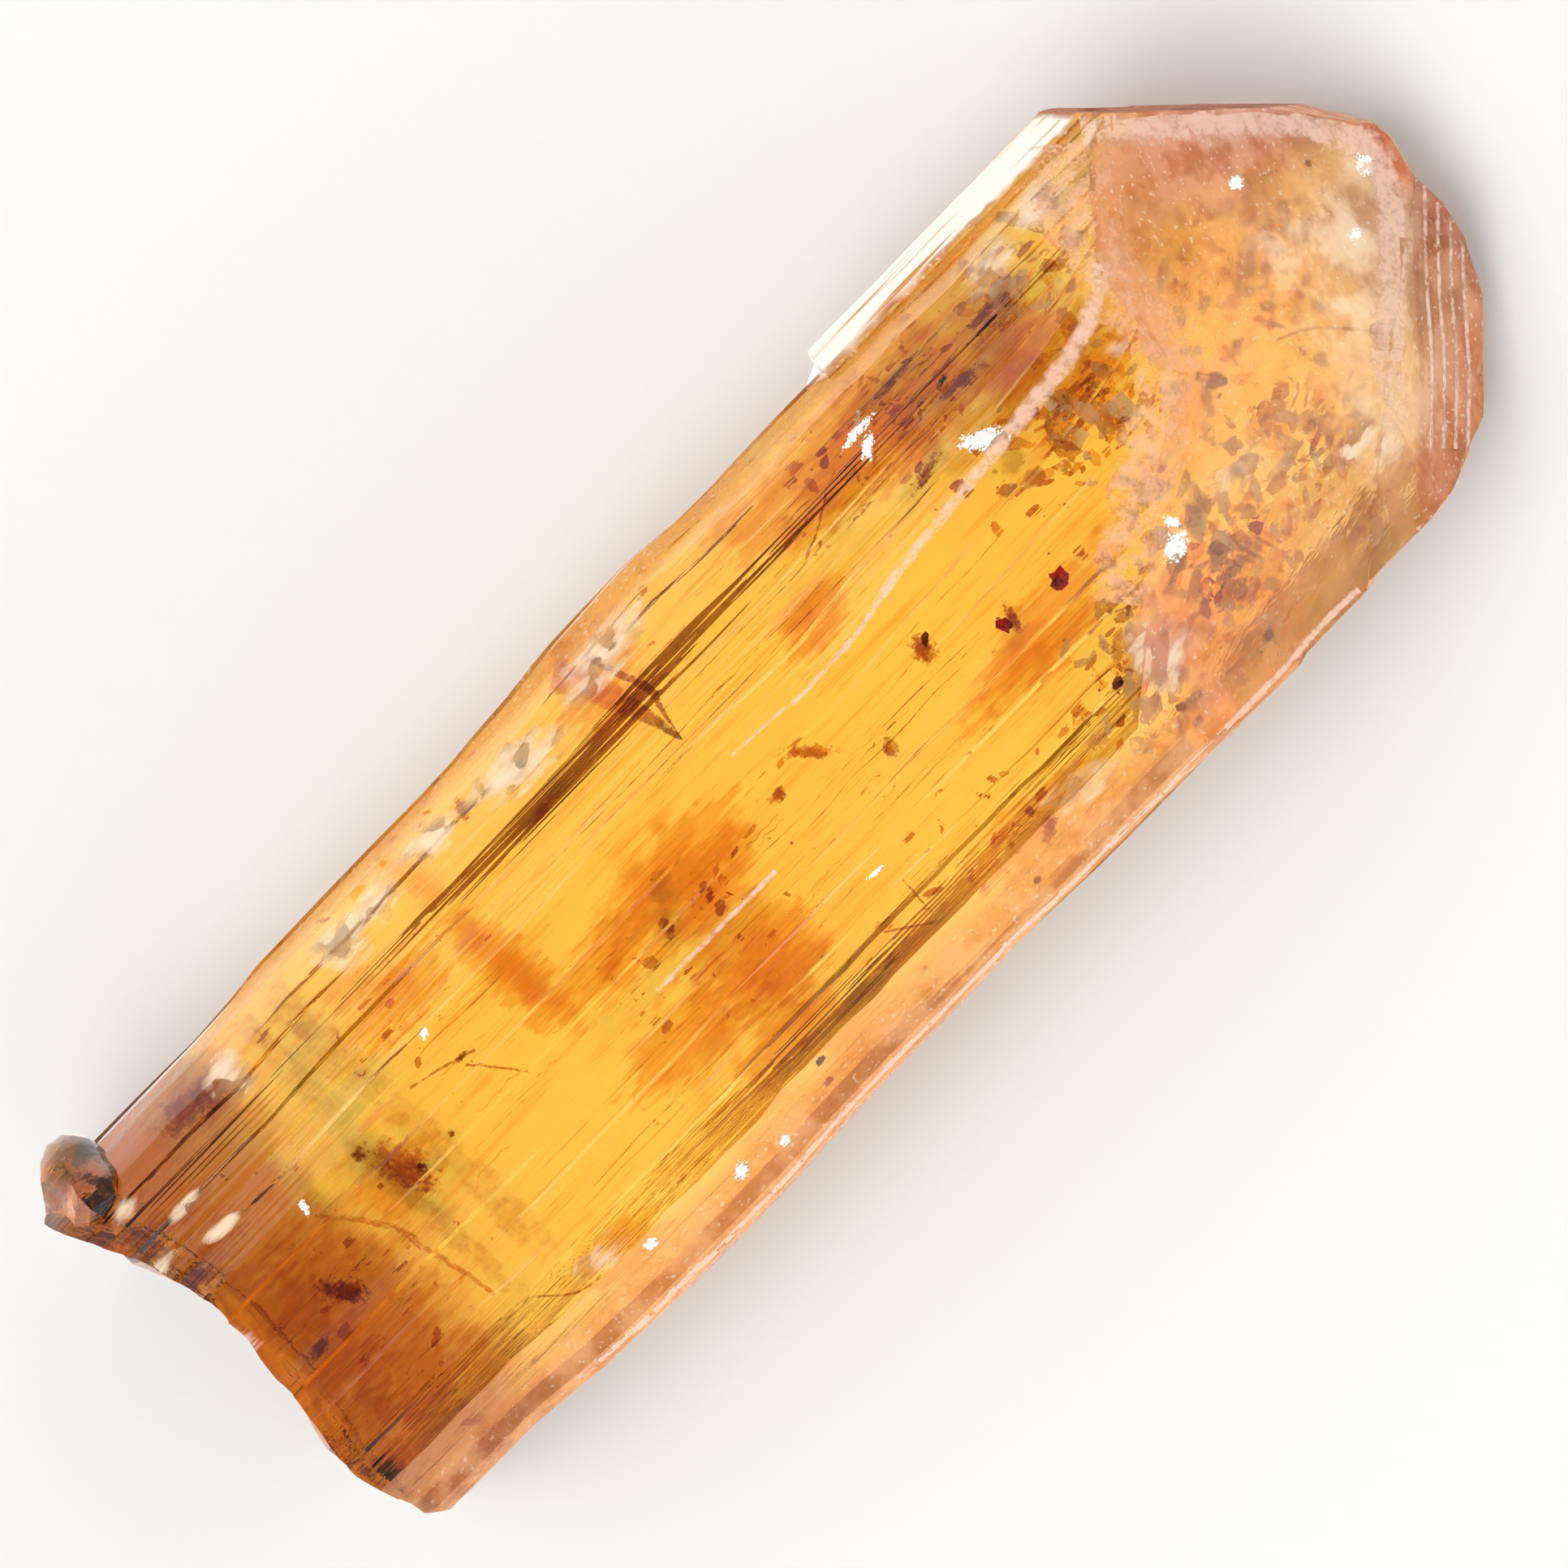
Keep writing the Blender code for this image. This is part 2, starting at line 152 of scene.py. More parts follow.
class StageSettings(bpy.types.PropertyGroup):
    """Floor, light and camera."""
    floor_colour: colour_setting("Floor", "Plain pale floor", (0.8, 0.8, 0.79))
    world_light: FloatProperty(
        name="World light", description="Strength of the soft surround", default=1.35)
    floor_glow: FloatProperty(
        name="Floor glow", description="Light that the pale floor gives the stone, as a light table does",
        default=0.7)
    frame_width: length_setting("Frame width", "Width of the picture at the crystal", 32.64)
    camera_distance: length_setting("Camera distance", "Height of the camera", 320.0)
    axis_turn: FloatProperty(
        name="Axis turn", description="Slope of the crystal in the picture, in degrees", default=45.9)


def settings():
    """The stone's, inclusions' and stage's settings."""
    scene = bpy.context.scene
    return scene.topaz_stone, scene.topaz_inclusions, scene.topaz_stage


def new_object(name, bm, material):
    """Put a finished mesh in the scene, with its material."""
    mesh = bpy.data.meshes.new(name)
    bm.to_mesh(mesh)
    bm.free()
    made = bpy.data.objects.new(name, mesh)
    bpy.context.collection.objects.link(made)
    mesh.materials.append(material)
    return made


def add_piece(name, bm, material, replaces=False, margin=0.025):
    """Make a finished mesh a piece of the crystal.

    It lies at least the margin under the stone's surface; a piece without a margin is only kept in its box.
    """
    if margin is not None and not replaces:
        keep_inside(bm, margin)
    for vert in bm.verts:
        vert.co = in_box(vert.co)
    piece = new_object(name, bm, material)
    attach(piece, BODY)
    if replaces:
        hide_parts(NODE)
    return piece


class Nodes:
    """Small helper that places and links shader nodes."""

    def __init__(self, tree):
        self.tree = tree

    def add(self, kind, **values):
        """Add a node; values set its properties or, by name, its inputs."""
        node = self.tree.nodes.new(kind)
        for key, value in values.items():
            if hasattr(node, key):
                setattr(node, key, value)
            else:
                self.put(node.inputs[key.replace("_", " ")], value)
        return node

    def put(self, socket, value):
        """Link a socket or set its plain value."""
        if isinstance(value, bpy.types.NodeSocket):
            self.tree.links.new(value, socket)
        elif isinstance(value, (tuple, list)) and len(value) == 3 and socket.type == 'RGBA':
            socket.default_value = (*value, 1.0)
        else:
            socket.default_value = value

    def fill(self, node, values):
        """Fill a node's inputs by name."""
        for name, value in values.items():
            self.put(node.inputs[name], value)

    def math(self, operation, *values):
        """A Math node's output."""
        node = self.tree.nodes.new("ShaderNodeMath")
        node.operation = operation
        for socket, value in zip(node.inputs, values):
            self.put(socket, value)
        return node.outputs[0]

    def times(self, first, second):
        """The product of two values."""
        return self.math('MULTIPLY', first, second)

    def plus(self, first, second):
        """The sum of two values."""
        return self.math('ADD', first, second)

    def vector(self, operation, *values):
        """A Vector Math node's output."""
        node = self.tree.nodes.new("ShaderNodeVectorMath")
        node.operation = operation
        for socket, value in zip(node.inputs, values):
            self.put(socket, value)
        return node.outputs["Value" if operation in ('LENGTH', 'DISTANCE', 'DOT_PRODUCT') else "Vector"]

    def ramp(self, value, low, high, start=0.0, end=1.0):
        """A value eased from start to end as it goes from low to high."""
        node = self.tree.nodes.new("ShaderNodeMapRange")
        node.interpolation_type = 'SMOOTHSTEP'
        self.fill(node, {"Value": value, "From Min": low, "From Max": high, "To Min": start, "To Max": end})
        return node.outputs["Result"]

    def mix(self, amount, first, second, blend='MIX'):
        """A colour mix."""
        node = self.tree.nodes.new("ShaderNodeMix")
        node.data_type = 'RGBA'
        node.blend_type = blend
        self.put(node.inputs["Factor"], amount)
        self.put(node.inputs[6], first)
        self.put(node.inputs[7], second)
        return node.outputs[2]

    def noise(self, place, scale, detail=3.0, rough=0.55):
        """A noise value around 0.5."""
        node = self.tree.nodes.new("ShaderNodeTexNoise")
        self.fill(node, {"Vector": place, "Scale": scale, "Detail": detail, "Roughness": rough})
        return node.outputs["Fac"]

    def carried(self, layer):
        """The channels of a colour that the mesh's points carry."""
        colour = self.add("ShaderNodeVertexColor", layer_name=layer).outputs["Color"]
        return self.add("ShaderNodeSeparateColor", Color=colour).outputs


def new_material(name):
    """An empty material, its node helper, its shader and places in millimetres."""
    material = bpy.data.materials.new(name)
    material.use_nodes = True
    nodes = Nodes(material.node_tree)
    shader = material.node_tree.nodes["Principled BSDF"]
    coordinates = nodes.add("ShaderNodeTexCoord")
    place = nodes.vector('SCALE', coordinates.outputs["Object"])
    place.node.inputs["Scale"].default_value = 1.0 / MM
    return material, nodes, shader, place


def stretched(nodes, place, along, across):
    """Places scaled so that a pattern on them runs lengthwise."""
    return nodes.vector('MULTIPLY', place, (along, across, across))


# Painted shade: darker orange patches painted where the stone is shaded inside: centre and reach in plan, in
# millimetres, and strength
PAINTED_SHADE_PATCHES = (
    ((-9.6, 2.6), (1.2, 0.75), 0.6),
    ((-7.4, 1.3), (0.5, 2.0), 0.75),
    ((-5.9, 0.1), (1.3, 0.7), 0.55),
    ((-5.7, -2.1), (1.6, 0.9), 0.75),
    ((-3.7, 0.2), (1.7, 1.1), 1.0),
    ((-3.7, -2.0), (1.2, 1.3), 0.95),
    ((-4.4, -3.5), (1.2, 0.55), 0.6),
    ((2.2, 1.7), (1.0, 0.6), 0.9),
    ((4.6, 3.7), (2.2, 1.0), 0.95),
    ((7.8, 3.3), (2.2, 1.5), 0.95),
    ((9.6, 1.9), (1.6, 1.4), 0.7),
    ((5.4, -1.5), (2.0, 0.8), 0.6),
    ((8.0, -3.4), (1.9, 1.2), 0.7),
    ((2.4, -3.9), (1.5, 0.6), 0.4),
    ((-10.0, -3.9), (1.0, 0.5), 0.45),
    ((-1.9, 4.1), (1.1, 1.0), 0.5),
    ((-13.6, 3.9), (0.7, 0.9), 0.8),
    ((-12.0, 0.2), (0.9, 1.2), 0.5),
)


def painted_shade_cover(place):
    """How much painted shade, as darker orange, a place in plan has."""
    total = 0.0
    for (x, y), (along, across), strength in PAINTED_SHADE_PATCHES:
        reach = math.hypot((place.x - x) / along, (place.y - y) / across)
        total = max(total, strength * (1.0 - ease(reach * 0.62)))
    return total


def stone_material():
    """Clear topaz: plain transmission, refraction and absorption, with tint, polish and relief that vary;
    the tint holds painted shade as darker orange patches.
    """
    stone, _, _ = settings()
    material, nodes, shader, place = new_material("clear topaz")
    etched, patch, flank = nodes.carried("finish")
    parts = nodes.add("ShaderNodeSeparateXYZ")
    nodes.put(parts.inputs[0], place)

    threads = nodes.noise(stretched(nodes, place, 0.19, 3.0), 1.0, 3.0, 0.75)
    lumps = nodes.noise(place, 1.1, 1.0, 0.6)
    fray = nodes.math('SUBTRACT', nodes.plus(threads, lumps), 1.0)
    frayed = nodes.plus(patch, nodes.times(fray, 1.5))
    tint = nodes.mix(nodes.ramp(threads, 0.48, 0.72, 0.0, 0.75), tuple(stone.clear_tint),
                     tuple(stone.streak_and_painted_shade_tint))
    # Painted shade: the darker orange patches, frayed by noise
    tint = nodes.mix(nodes.ramp(frayed, 0.22, 0.85), tint, tuple(stone.streak_and_painted_shade_tint))
    wander = nodes.times(fray, 4.0)
    leftward = nodes.ramp(nodes.plus(parts.outputs["X"], wander), -12.0, -14.6, 0.0, 0.9)
    tint = nodes.mix(leftward, tint, tuple(stone.broken_tint))
    blush = nodes.mix(nodes.ramp(lumps, 0.35, 0.65), tuple(stone.frost_tint), (1.0, 0.8, 0.62))
    tint = nodes.mix(nodes.times(etched, 0.8), tint, blush)
    nodes.put(shader.inputs["Base Color"], tint)

    grain = nodes.noise(place, 4.0, 2.0, 0.65)
    polish = nodes.ramp(threads, 0.5, 0.8, stone.polish, stone.polish * 5.0)
    dull = nodes.ramp(grain, 0.3, 0.75, stone.frost * 0.45, stone.frost * 1.35)
    rough = nodes.plus(polish, nodes.times(etched, dull))
    rough = nodes.plus(rough, nodes.times(flank, 0.16))
    nodes.put(shader.inputs["Roughness"], rough)

    fine = nodes.noise(stretched(nodes, place, 0.08, 4.0), 2.0, 1.0, 0.7)
    height = nodes.times(fine, 0.03)
    height = nodes.plus(height, nodes.times(nodes.times(grain, etched), 0.02))
    bump = nodes.add("ShaderNodeBump", Height=height, Strength=0.5, Distance=MM)
    nodes.put(shader.inputs["Normal"], bump.outputs["Normal"])

    nodes.fill(shader, {"Transmission Weight": 1.0, "IOR": stone.ior})
    absorb = nodes.add("ShaderNodeVolumeAbsorption", Color=tuple(stone.absorb_colour),
                       Density=stone.absorb_density)
    output = material.node_tree.nodes["Material Output"]
    nodes.put(output.inputs["Volume"], absorb.outputs["Volume"])
    material.cycles.homogeneous_volume = True
    return material


# Refraction of milky matter in or on the stone and of the film, low enough for a soft gloss
MILKY_IOR = 1.25
FILM_IOR = 1.2


def ragged_group():
    """The node group that frays a cover with streaky noise, wherever there is some cover."""
    name = "ragged cover"
    if name in bpy.data.node_groups:
        return bpy.data.node_groups[name]
    tree = bpy.data.node_groups.new(name, "ShaderNodeTree")
    tree.interface.new_socket(name="Place", in_out='INPUT', socket_type="NodeSocketVector")
    for title in ("Cover", "Darkness", "Grain", "Along", "Low", "High", "Full"):
        tree.interface.new_socket(name=title, in_out='INPUT', socket_type="NodeSocketFloat")
    for title in ("Amount", "Shade"):
        tree.interface.new_socket(name=title, in_out='OUTPUT', socket_type="NodeSocketFloat")
    nodes = Nodes(tree)
    given = tree.nodes.new("NodeGroupInput").outputs
    lengthwise = nodes.add("ShaderNodeCombineXYZ", X=given["Along"], Y=1.0, Z=1.0).outputs[0]
    place = nodes.vector('MULTIPLY', given["Place"], lengthwise)
    coarse = nodes.noise(place, given["Grain"], 2.0, 0.65)
    fine = nodes.noise(place, nodes.times(given["Grain"], 3.0), 1.0, 0.7)
    fray = nodes.plus(nodes.times(coarse, 0.6), nodes.times(fine, 0.4))
    shift = nodes.times(nodes.math('SUBTRACT', fray, 0.5), 2.6)
    inner = nodes.ramp(given["Cover"], 0.0, 0.35)
    frayed = nodes.times(nodes.plus(given["Cover"], shift), inner)
    result = tree.nodes.new("NodeGroupOutput").inputs
    nodes.put(result["Amount"], nodes.ramp(frayed, given["Low"], given["High"], 0.0, given["Full"]))
    shade = nodes.plus(given["Darkness"], nodes.math('SUBTRACT', fine, 0.5))
    nodes.put(result["Shade"], nodes.ramp(shade, 0.0, 1.0))
    return tree


def ragged(nodes, place, grain, along, low, high, full):
    """The frayed cover and the shade that a mesh's points carry."""
    cover, darkness, _ = nodes.carried("cover")
    node = nodes.tree.nodes.new("ShaderNodeGroup")
    node.node_tree = ragged_group()
    nodes.fill(node, {"Place": place, "Cover": cover, "Darkness": darkness, "Grain": grain, "Along": along,
                      "Low": low, "High": high, "Full": full})
    return node.outputs["Amount"], node.outputs["Shade"]


def inclusion_material(title, pale, deep, rough, grain, along=1.0, thick=1.0, low=0.3, high=0.78,
                       through=0.0):
    """Milky matter in or on the stone, its cover frayed by noise between low and high."""
    material, nodes, shader, place = new_material(title)
    amount, shade = ragged(nodes, place, grain, along, low, high, thick)
    nodes.put(shader.inputs["Base Color"], nodes.mix(shade, tuple(pale), tuple(deep)))
    nodes.put(shader.inputs["Alpha"], amount)
    nodes.fill(shader, {"Roughness": rough, "Transmission Weight": through, "IOR": MILKY_IOR})
    return material


def stain_material(title, pale, deep, grain, along=1.0, low=0.3, high=0.78, strength=1.0):
    """Stained layers inside the stone: they let light through and tint it."""
    material, nodes, shader, place = new_material(title)
    amount, shade = ragged(nodes, place, grain, along, low, high, strength)
    colour = nodes.mix(shade, tuple(pale), tuple(deep))
    nodes.put(shader.inputs["Base Color"], nodes.mix(amount, (1.0, 1.0, 1.0), colour))
    nodes.fill(shader, {"Roughness": 0.0, "Transmission Weight": 1.0, "IOR": 1.0})
    return material


def film_material():
    """The milky film on the etched faces: its colour comes from the mesh, mottled by noise."""
    _, matter, _ = settings()
    material, nodes, shader, place = new_material("milky film")
    tone = nodes.add("ShaderNodeVertexColor", layer_name="tone")
    cover = nodes.carried("cover")[0]
    mottle = nodes.noise(place, 0.9, 3.0, 0.62)
    specks = nodes.noise(place, 8.0, 1.0, 0.6)
    dark = nodes.mix(1.0, tone.outputs["Color"], (0.74, 0.52, 0.4), 'MULTIPLY')
    colour = nodes.mix(nodes.ramp(mottle, 0.58, 0.38), tone.outputs["Color"], dark)
    colour = nodes.mix(nodes.ramp(specks, 0.62, 0.74, 0.0, 0.6), colour, tuple(matter.frost_white_and_painted_glint))
    nodes.put(shader.inputs["Base Color"], colour)
    opacity = nodes.times(cover, nodes.plus(mottle, 0.5))
    nodes.put(shader.inputs["Alpha"], nodes.ramp(opacity, 0.05, 1.0, 0.0, 0.97))
    nodes.fill(shader, {"Roughness": 0.7, "Transmission Weight": 0.35, "IOR": FILM_IOR})
    return material


def strip_material():
    """The white frosted top of the raised side layer, with fine brown lines."""
    _, matter, _ = settings()
    material, nodes, shader, place = new_material("white strip")
    lines = nodes.noise(stretched(nodes, place, 0.16, 5.0), 1.0, 2.0, 0.6)
    colour = nodes.mix(nodes.ramp(lines, 0.54, 0.64), tuple(matter.frost_white_and_painted_glint), tuple(matter.gold))
    nodes.put(shader.inputs["Base Color"], nodes.mix(1.0, colour, (0.86, 0.82, 0.78), 'MULTIPLY'))
    shader.inputs["Roughness"].default_value = 0.6
    return material


def split_long_edges(bm, longest, wanted):
    """Halve the edges that are too long until the chosen part is fine enough."""
    for _ in range(5):
        edges = [edge for edge in bm.edges if wanted(edge) and edge.calc_length() > longest]
        if not edges:
            break
        bmesh.ops.subdivide_edges(bm, edges=edges, cuts=1, use_grid_fill=True)
        bmesh.ops.triangulate(bm, faces=[face for face in bm.faces if len(face.verts) > 3])


def is_end_face(place, normal):
    """Whether a place lies on the sloping faces of the terminated end."""
    return normal.x > 0.28 and normal.z > -0.5 and place.x > 7.0


def past_crease(place):
    """How far, in millimetres, a place lies past the crease, towards the second lobe."""
    along = Vector((CREASE[1][0] - CREASE[0][0], CREASE[1][1] - CREASE[0][1])).normalized()
    offset = Vector((place.x - CREASE[0][0], place.y - CREASE[0][1]))
    return offset.y * along.x - offset.x * along.y


def etching(place, normal):
    """How etched the surface is at a place: the end faces fully, the rims of the front partly."""
    if is_end_face(place, normal):
        return 0.45 if normal.dot(LOW_FACE) > 0.985 else 1.0
    lower = ease((-4.05 - place.y) / 0.7) * ease((normal.z + 0.1) / 0.4) * 0.55
    upper = ease((place.y - 4.55) / 0.5) * ease((normal.z + 0.1) / 0.4) * 0.4
    return max(lower, upper)


def build_stone():
    """The clear stone: the solid's own form, finer, with fine striations and etching."""
    stone, _, _ = settings()
    bm = bmesh.new()
    bm.from_mesh(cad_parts[NODE].data)
    bmesh.ops.remove_doubles(bm, verts=bm.verts, dist=0.0005 * MM)
    split_long_edges(bm, stone.fine_edge, lambda edge: True)
    split_long_edges(bm, stone.end_edge, lambda edge: all(
        vert.co.z > FLAT_HEIGHT * MM and not PRISM_SPAN[0] * MM < vert.co.x < PRISM_SPAN[1] * MM
        for vert in edge.verts))
    bm.normal_update()
    moves = []
    for vert in bm.verts:
        if vert.co.z < FLAT_HEIGHT * MM:
            continue
        place = vert.co / MM
        if vert.normal.x > 0.3 or (vert.normal.x < -0.5 and place.x < -15.0):
            lift = noise.noise(place * 1.1) + 0.6 * noise.noise(place * 2.7)
            moves.append((vert, vert.normal * stone.etch_depth * lift))
        else:
            lift = noise.noise(Vector((place.x * 0.14, place.y * 3.1, place.z * 3.1)))
            moves.append((vert, vert.normal * stone.striation_depth * lift))
    for vert, move in moves:
        vert.co = in_box(vert.co + move)
    bm.normal_update()
    # The finish carries etching, the painted shade of the darker patches and the flank
    finish = bm.loops.layers.float_color.new("finish")
    for face in bm.faces:
        face.smooth = True
        flank = 1.0 if abs(face.normal.z) < 0.7 and abs(face.normal.x) < 0.5 else 0.0
        for loop in face.loops:
            place = loop.vert.co / MM
            loop[finish] = (etching(place, face.normal), painted_shade_cover(place), flank, 1.0)
    sharp = math.radians(SMOOTH_ANGLE)
    for edge in bm.edges:
        middle = (edge.verts[0].co + edge.verts[1].co) / (2.0 * MM)
        limit = sharp * KNOB_SOFTNESS if middle.x < -15.4 and middle.y > 4.2 else sharp
        edge.smooth = len(edge.link_faces) == 2 and edge.calc_face_angle() < limit
    return add_piece("clear_stone", bm, stone_material(), replaces=True)


def film_look(place, normals):
    """Cover and colour of the milky film at a place on the surface whose faces have these normals."""
    _, matter, _ = settings()
    upright = max(normal.z for normal in normals)
    if any(is_end_face(place, normal) for normal in normals):
        if all(normal.y > 0.55 for normal in normals):
            return 0.8, Vector(matter.brown)
        cover, tone = 0.4 + 0.15 * ease((place.y + 2.0) / 2.0), Vector(matter.peach)
        if past_crease(place) > 0.0:
            cover, tone = 0.72, Vector(matter.pink).lerp(Vector(matter.brown), 0.45)
    elif place.z > 2.0 and place.x > 5.9 and place.y > 5.3 and upright > 0.2:
        return 2.0, Vector(matter.frost_white_and_painted_glint)
    else:
        lower = ease((-4.2 - place.y) / 0.8) * ease((upright + 0.2) / 0.5)
        upper = ease((place.y - 4.7) / 0.5) * ease((upright + 0.2) / 0.5) * ease((place.x + 13.5) / 2.0)
        cover = max(0.62 * lower, 0.55 * upper)
        tone = Vector(matter.gold if upper > lower else matter.peach)
    for (x, y), (along, across), name, strength, change in FILM_SPOTS:
        reach = math.hypot((place.x - x) / along, (place.y - y) / across)
        if reach < 1.0:
            share = strength * (1.0 - ease(reach))
            tone = tone.lerp(Vector(getattr(matter, name)), share)
            cover = cover * (1.0 - share) + change * share
    return cover, tone


def build_film():
    """The milky film on the etched end faces and the rims, and the white top of the raised side layer."""
    bm = bmesh.new()
    bm.from_mesh(bpy.data.objects["clear_stone"].data)
    cover = bm.verts.layers.float_color.new("cover")
    tone = bm.verts.layers.float_color.new("tone")
    for vert in bm.verts:
        best = film_look(vert.co / MM, [face.normal for face in vert.link_faces])
        vert[cover] = (best[0], 0.0, 0.0, 1.0)
        vert[tone] = (*best[1], 1.0)
    for vert in bm.verts:
        vert.co += vert.normal * SKIN * MM
    for face in bm.faces:
        face.smooth = True
    strip = bm.copy()
    layer = strip.verts.layers.float_color["cover"]
    plain = [face for face in strip.faces if any(vert[layer][0] < STRIP_COVER for vert in face.verts)]
    bmesh.ops.delete(strip, geom=plain, context='FACES')
    bare = [face for face in bm.faces if all(vert[cover][0] < LEAST_COVER for vert in face.verts)
            or all(vert[cover][0] > STRIP_COVER for vert in face.verts)]
    bmesh.ops.delete(bm, geom=bare, context='FACES')
    return [add_piece("milky_film", bm, film_material(), margin=None),
            add_piece("white_strip", strip, strip_material(), margin=None)]


# Spots of film, mostly on the end faces: place and reach in plan, colour, strength and the cover there
FILM_SPOTS = (
    ((-16.7, 5.3), (1.1, 0.8), "gold", 1.0, 0.35),
    ((13.6, -3.4), (2.4, 1.9), "veil_and_painted_reflection", 0.8, 0.72),
    ((11.6, -4.0), (2.2, 1.4), "pink", 0.7, 0.62),
    ((15.3, -2.2), (1.3, 1.2), "blush", 0.9, 0.72),
    ((10.4, -2.2), (1.3, 1.1), "veil_and_painted_reflection", 0.7, 0.45),
    ((14.8, 3.3), (3.6, 2.2), "pink", 1.0, 0.95),
    ((16.2, 2.3), (1.9, 1.6), "pink", 1.0, 0.92),
    ((13.1, 3.4), (1.4, 1.1), "brown", 0.35, 0.75),
    ((12.9, 1.9), (1.6, 1.2), "gold", 0.9, 0.65),
    ((14.9, 1.4), (1.1, 0.8), "brown", 0.35, 0.75),
    ((11.9, 0.6), (1.2, 1.0), "gold", 0.5, 0.05),
    ((15.9, -0.6), (2.1, 1.6), "veil_and_painted_reflection", 1.0, 0.95),
    ((14.4, -1.5), (1.6, 1.5), "veil_and_painted_reflection", 1.0, 0.75),
    ((14.7, 0.2), (1.6, 1.3), "veil_and_painted_reflection", 1.0, 0.8),
    ((13.6, 0.5), (0.8, 0.7), "brown", 0.6, 0.6),
    ((15.4, 2.9), (0.8, 0.5), "frost_white_and_painted_glint", 0.6, 0.8),
    ((17.1, 0.4), (0.7, 0.6), "frost_white_and_painted_glint", 0.7, 0.8),
    ((9.0, -2.6), (1.3, 1.2), "peach", 0.5, 0.18),
    ((6.8, -3.7), (1.3, 1.7), "pink", 1.0, 0.9),
    ((8.1, -2.2), (0.8, 0.7), "frost_white_and_painted_glint", 0.6, 0.6),
    ((11.7, 4.5), (0.7, 0.6), "frost_white_and_painted_glint", 0.8, 0.6),
)


def crystal_tree():
    """A search tree of the clear stone, which is built first."""
    bm = bmesh.new()
    bm.from_mesh(bpy.data.objects["clear_stone"].data)
    tree = BVHTree.FromBMesh(bm)
    bm.free()
    return tree


def upper_surface():
    """A function that gives the place so many millimetres under the crystal's upper side."""
    tree = crystal_tree()

    def under(x, y, depth=0.0):
        hit = tree.ray_cast(mm(x, y, RAY_START), DOWN)[0]
        height = hit.z / MM if hit else 4.0
        return Vector((x, y, height - depth))
    return under


def keep_inside(bm, margin):
    """Move what would come out of the stone to the margin under its surface, in millimetres.

    Below 0 the margin is above the surface, and what hangs over an edge is taken away.
    """
    tree = crystal_tree()
    for vert in bm.verts:
        top = tree.ray_cast(Vector((vert.co.x, vert.co.y, RAY_START * MM)), DOWN)[0]
        if top is None:
            near, normal = tree.find_nearest(vert.co)[:2]
            vert.co = near - normal * 0.2 * MM
        else:
            foot = tree.ray_cast(Vector((vert.co.x, vert.co.y, -RAY_START * MM)), UP)[0]
            low, high = foot.z + abs(margin) * MM, top.z - margin * MM
            vert.co.z = min(max(vert.co.z, min(low, high)), max(low, high))
    if margin < 0.0:
        bm.normal_update()
        hanging = [face for face in bm.faces if abs(face.normal.z) < HANGING]
        bmesh.ops.delete(bm, geom=hanging, context='FACES')


def in_box(place):
    """The nearest place within the solid's box."""
    return Vector([min(max(value, low), high) for value, low, high in zip(place, LOW, HIGH)])


def inclusion_mesh():
    """An empty mesh whose points carry cover and darkness."""
    bm = bmesh.new()
    bm.verts.layers.float_color.new("cover")
    return bm


def sheet(bm, across, along, place, cover):
    """A grid bent by place(u, v), in millimetres, with cover(u, v) as its cover and darkness."""
    layer = bm.verts.layers.float_color["cover"]
    made = bmesh.ops.create_grid(bm, x_segments=along, y_segments=across, size=0.5)["verts"]
    for vert in made:
        u, v = vert.co.x + 0.5, vert.co.y + 0.5
        vert[layer] = (*cover(u, v), 0.0, 1.0)
        vert.co = place(u, v) * MM


def plate(bm, centre, size, turn, cover, rng, sides=7, uneven=0.35):
    """A thin ragged plate; size is its length and width, and turn a rotation."""
    layer = bm.verts.layers.float_color["cover"]
    made = bmesh.ops.create_circle(bm, cap_ends=True, segments=sides, radius=0.5)["verts"]
    for vert in made:
        wobble = 1.0 + rng.uniform(-uneven, uneven)
        flat = Vector((vert.co.x * size[0] * wobble, vert.co.y * size[1] * wobble,
                       rng.uniform(-0.04, 0.04) * size[1]))
        vert[layer] = (*cover, 0.0, 1.0)
        vert.co = (Vector(centre) + turn @ flat) * MM


def grain(bm, centre, size, turn, cover, rng, detail=2):
    """A closed lump with three sizes."""
    layer = bm.verts.layers.float_color["cover"]
    made = bmesh.ops.create_icosphere(bm, subdivisions=detail, radius=0.5)["verts"]
    shift = Vector([rng.uniform(0.0, 50.0) for _ in range(3)])
    for vert in made:
        wobble = 1.0 + 0.9 * noise.noise(vert.co * 3.4 + shift)
        local = Vector([value * scale * wobble for value, scale in zip(vert.co, size)])
        vert[layer] = (*cover, 0.0, 1.0)
        vert.co = (Vector(centre) + turn @ local) * MM


def cloud(bm, centre, size, turn, depth, cover, under, segments=12):
    """A soft-edged patch under the upper side, with its size in plan, turn in degrees and peak cover."""
    spin = Matrix.Rotation(math.radians(turn), 2)

    def place(u, v):
        flat = Vector(centre) + spin @ Vector(((u - 0.5) * size[0], (v - 0.5) * size[1]))
        ripple = 0.06 * min(size) * noise.noise(Vector((flat.x * 2.0, flat.y * 2.0, depth)))
        return under(flat.x, flat.y, depth + ripple)

    def soft(u, v):
        reach = math.hypot(2.0 * u - 1.0, 2.0 * v - 1.0)
        return cover[0] * (1.0 - ease(reach)), cover[1]
    sheet(bm, segments, segments, place, soft)


def flat_turn(degrees, tip=0.0, roll=0.0):
    """A rotation in plan with a little tip and roll."""
    return (Quaternion((0.0, 0.0, 1.0), math.radians(degrees))
            @ Quaternion((0.0, 1.0, 0.0), math.radians(tip))
            @ Quaternion((1.0, 0.0, 0.0), math.radians(roll)))


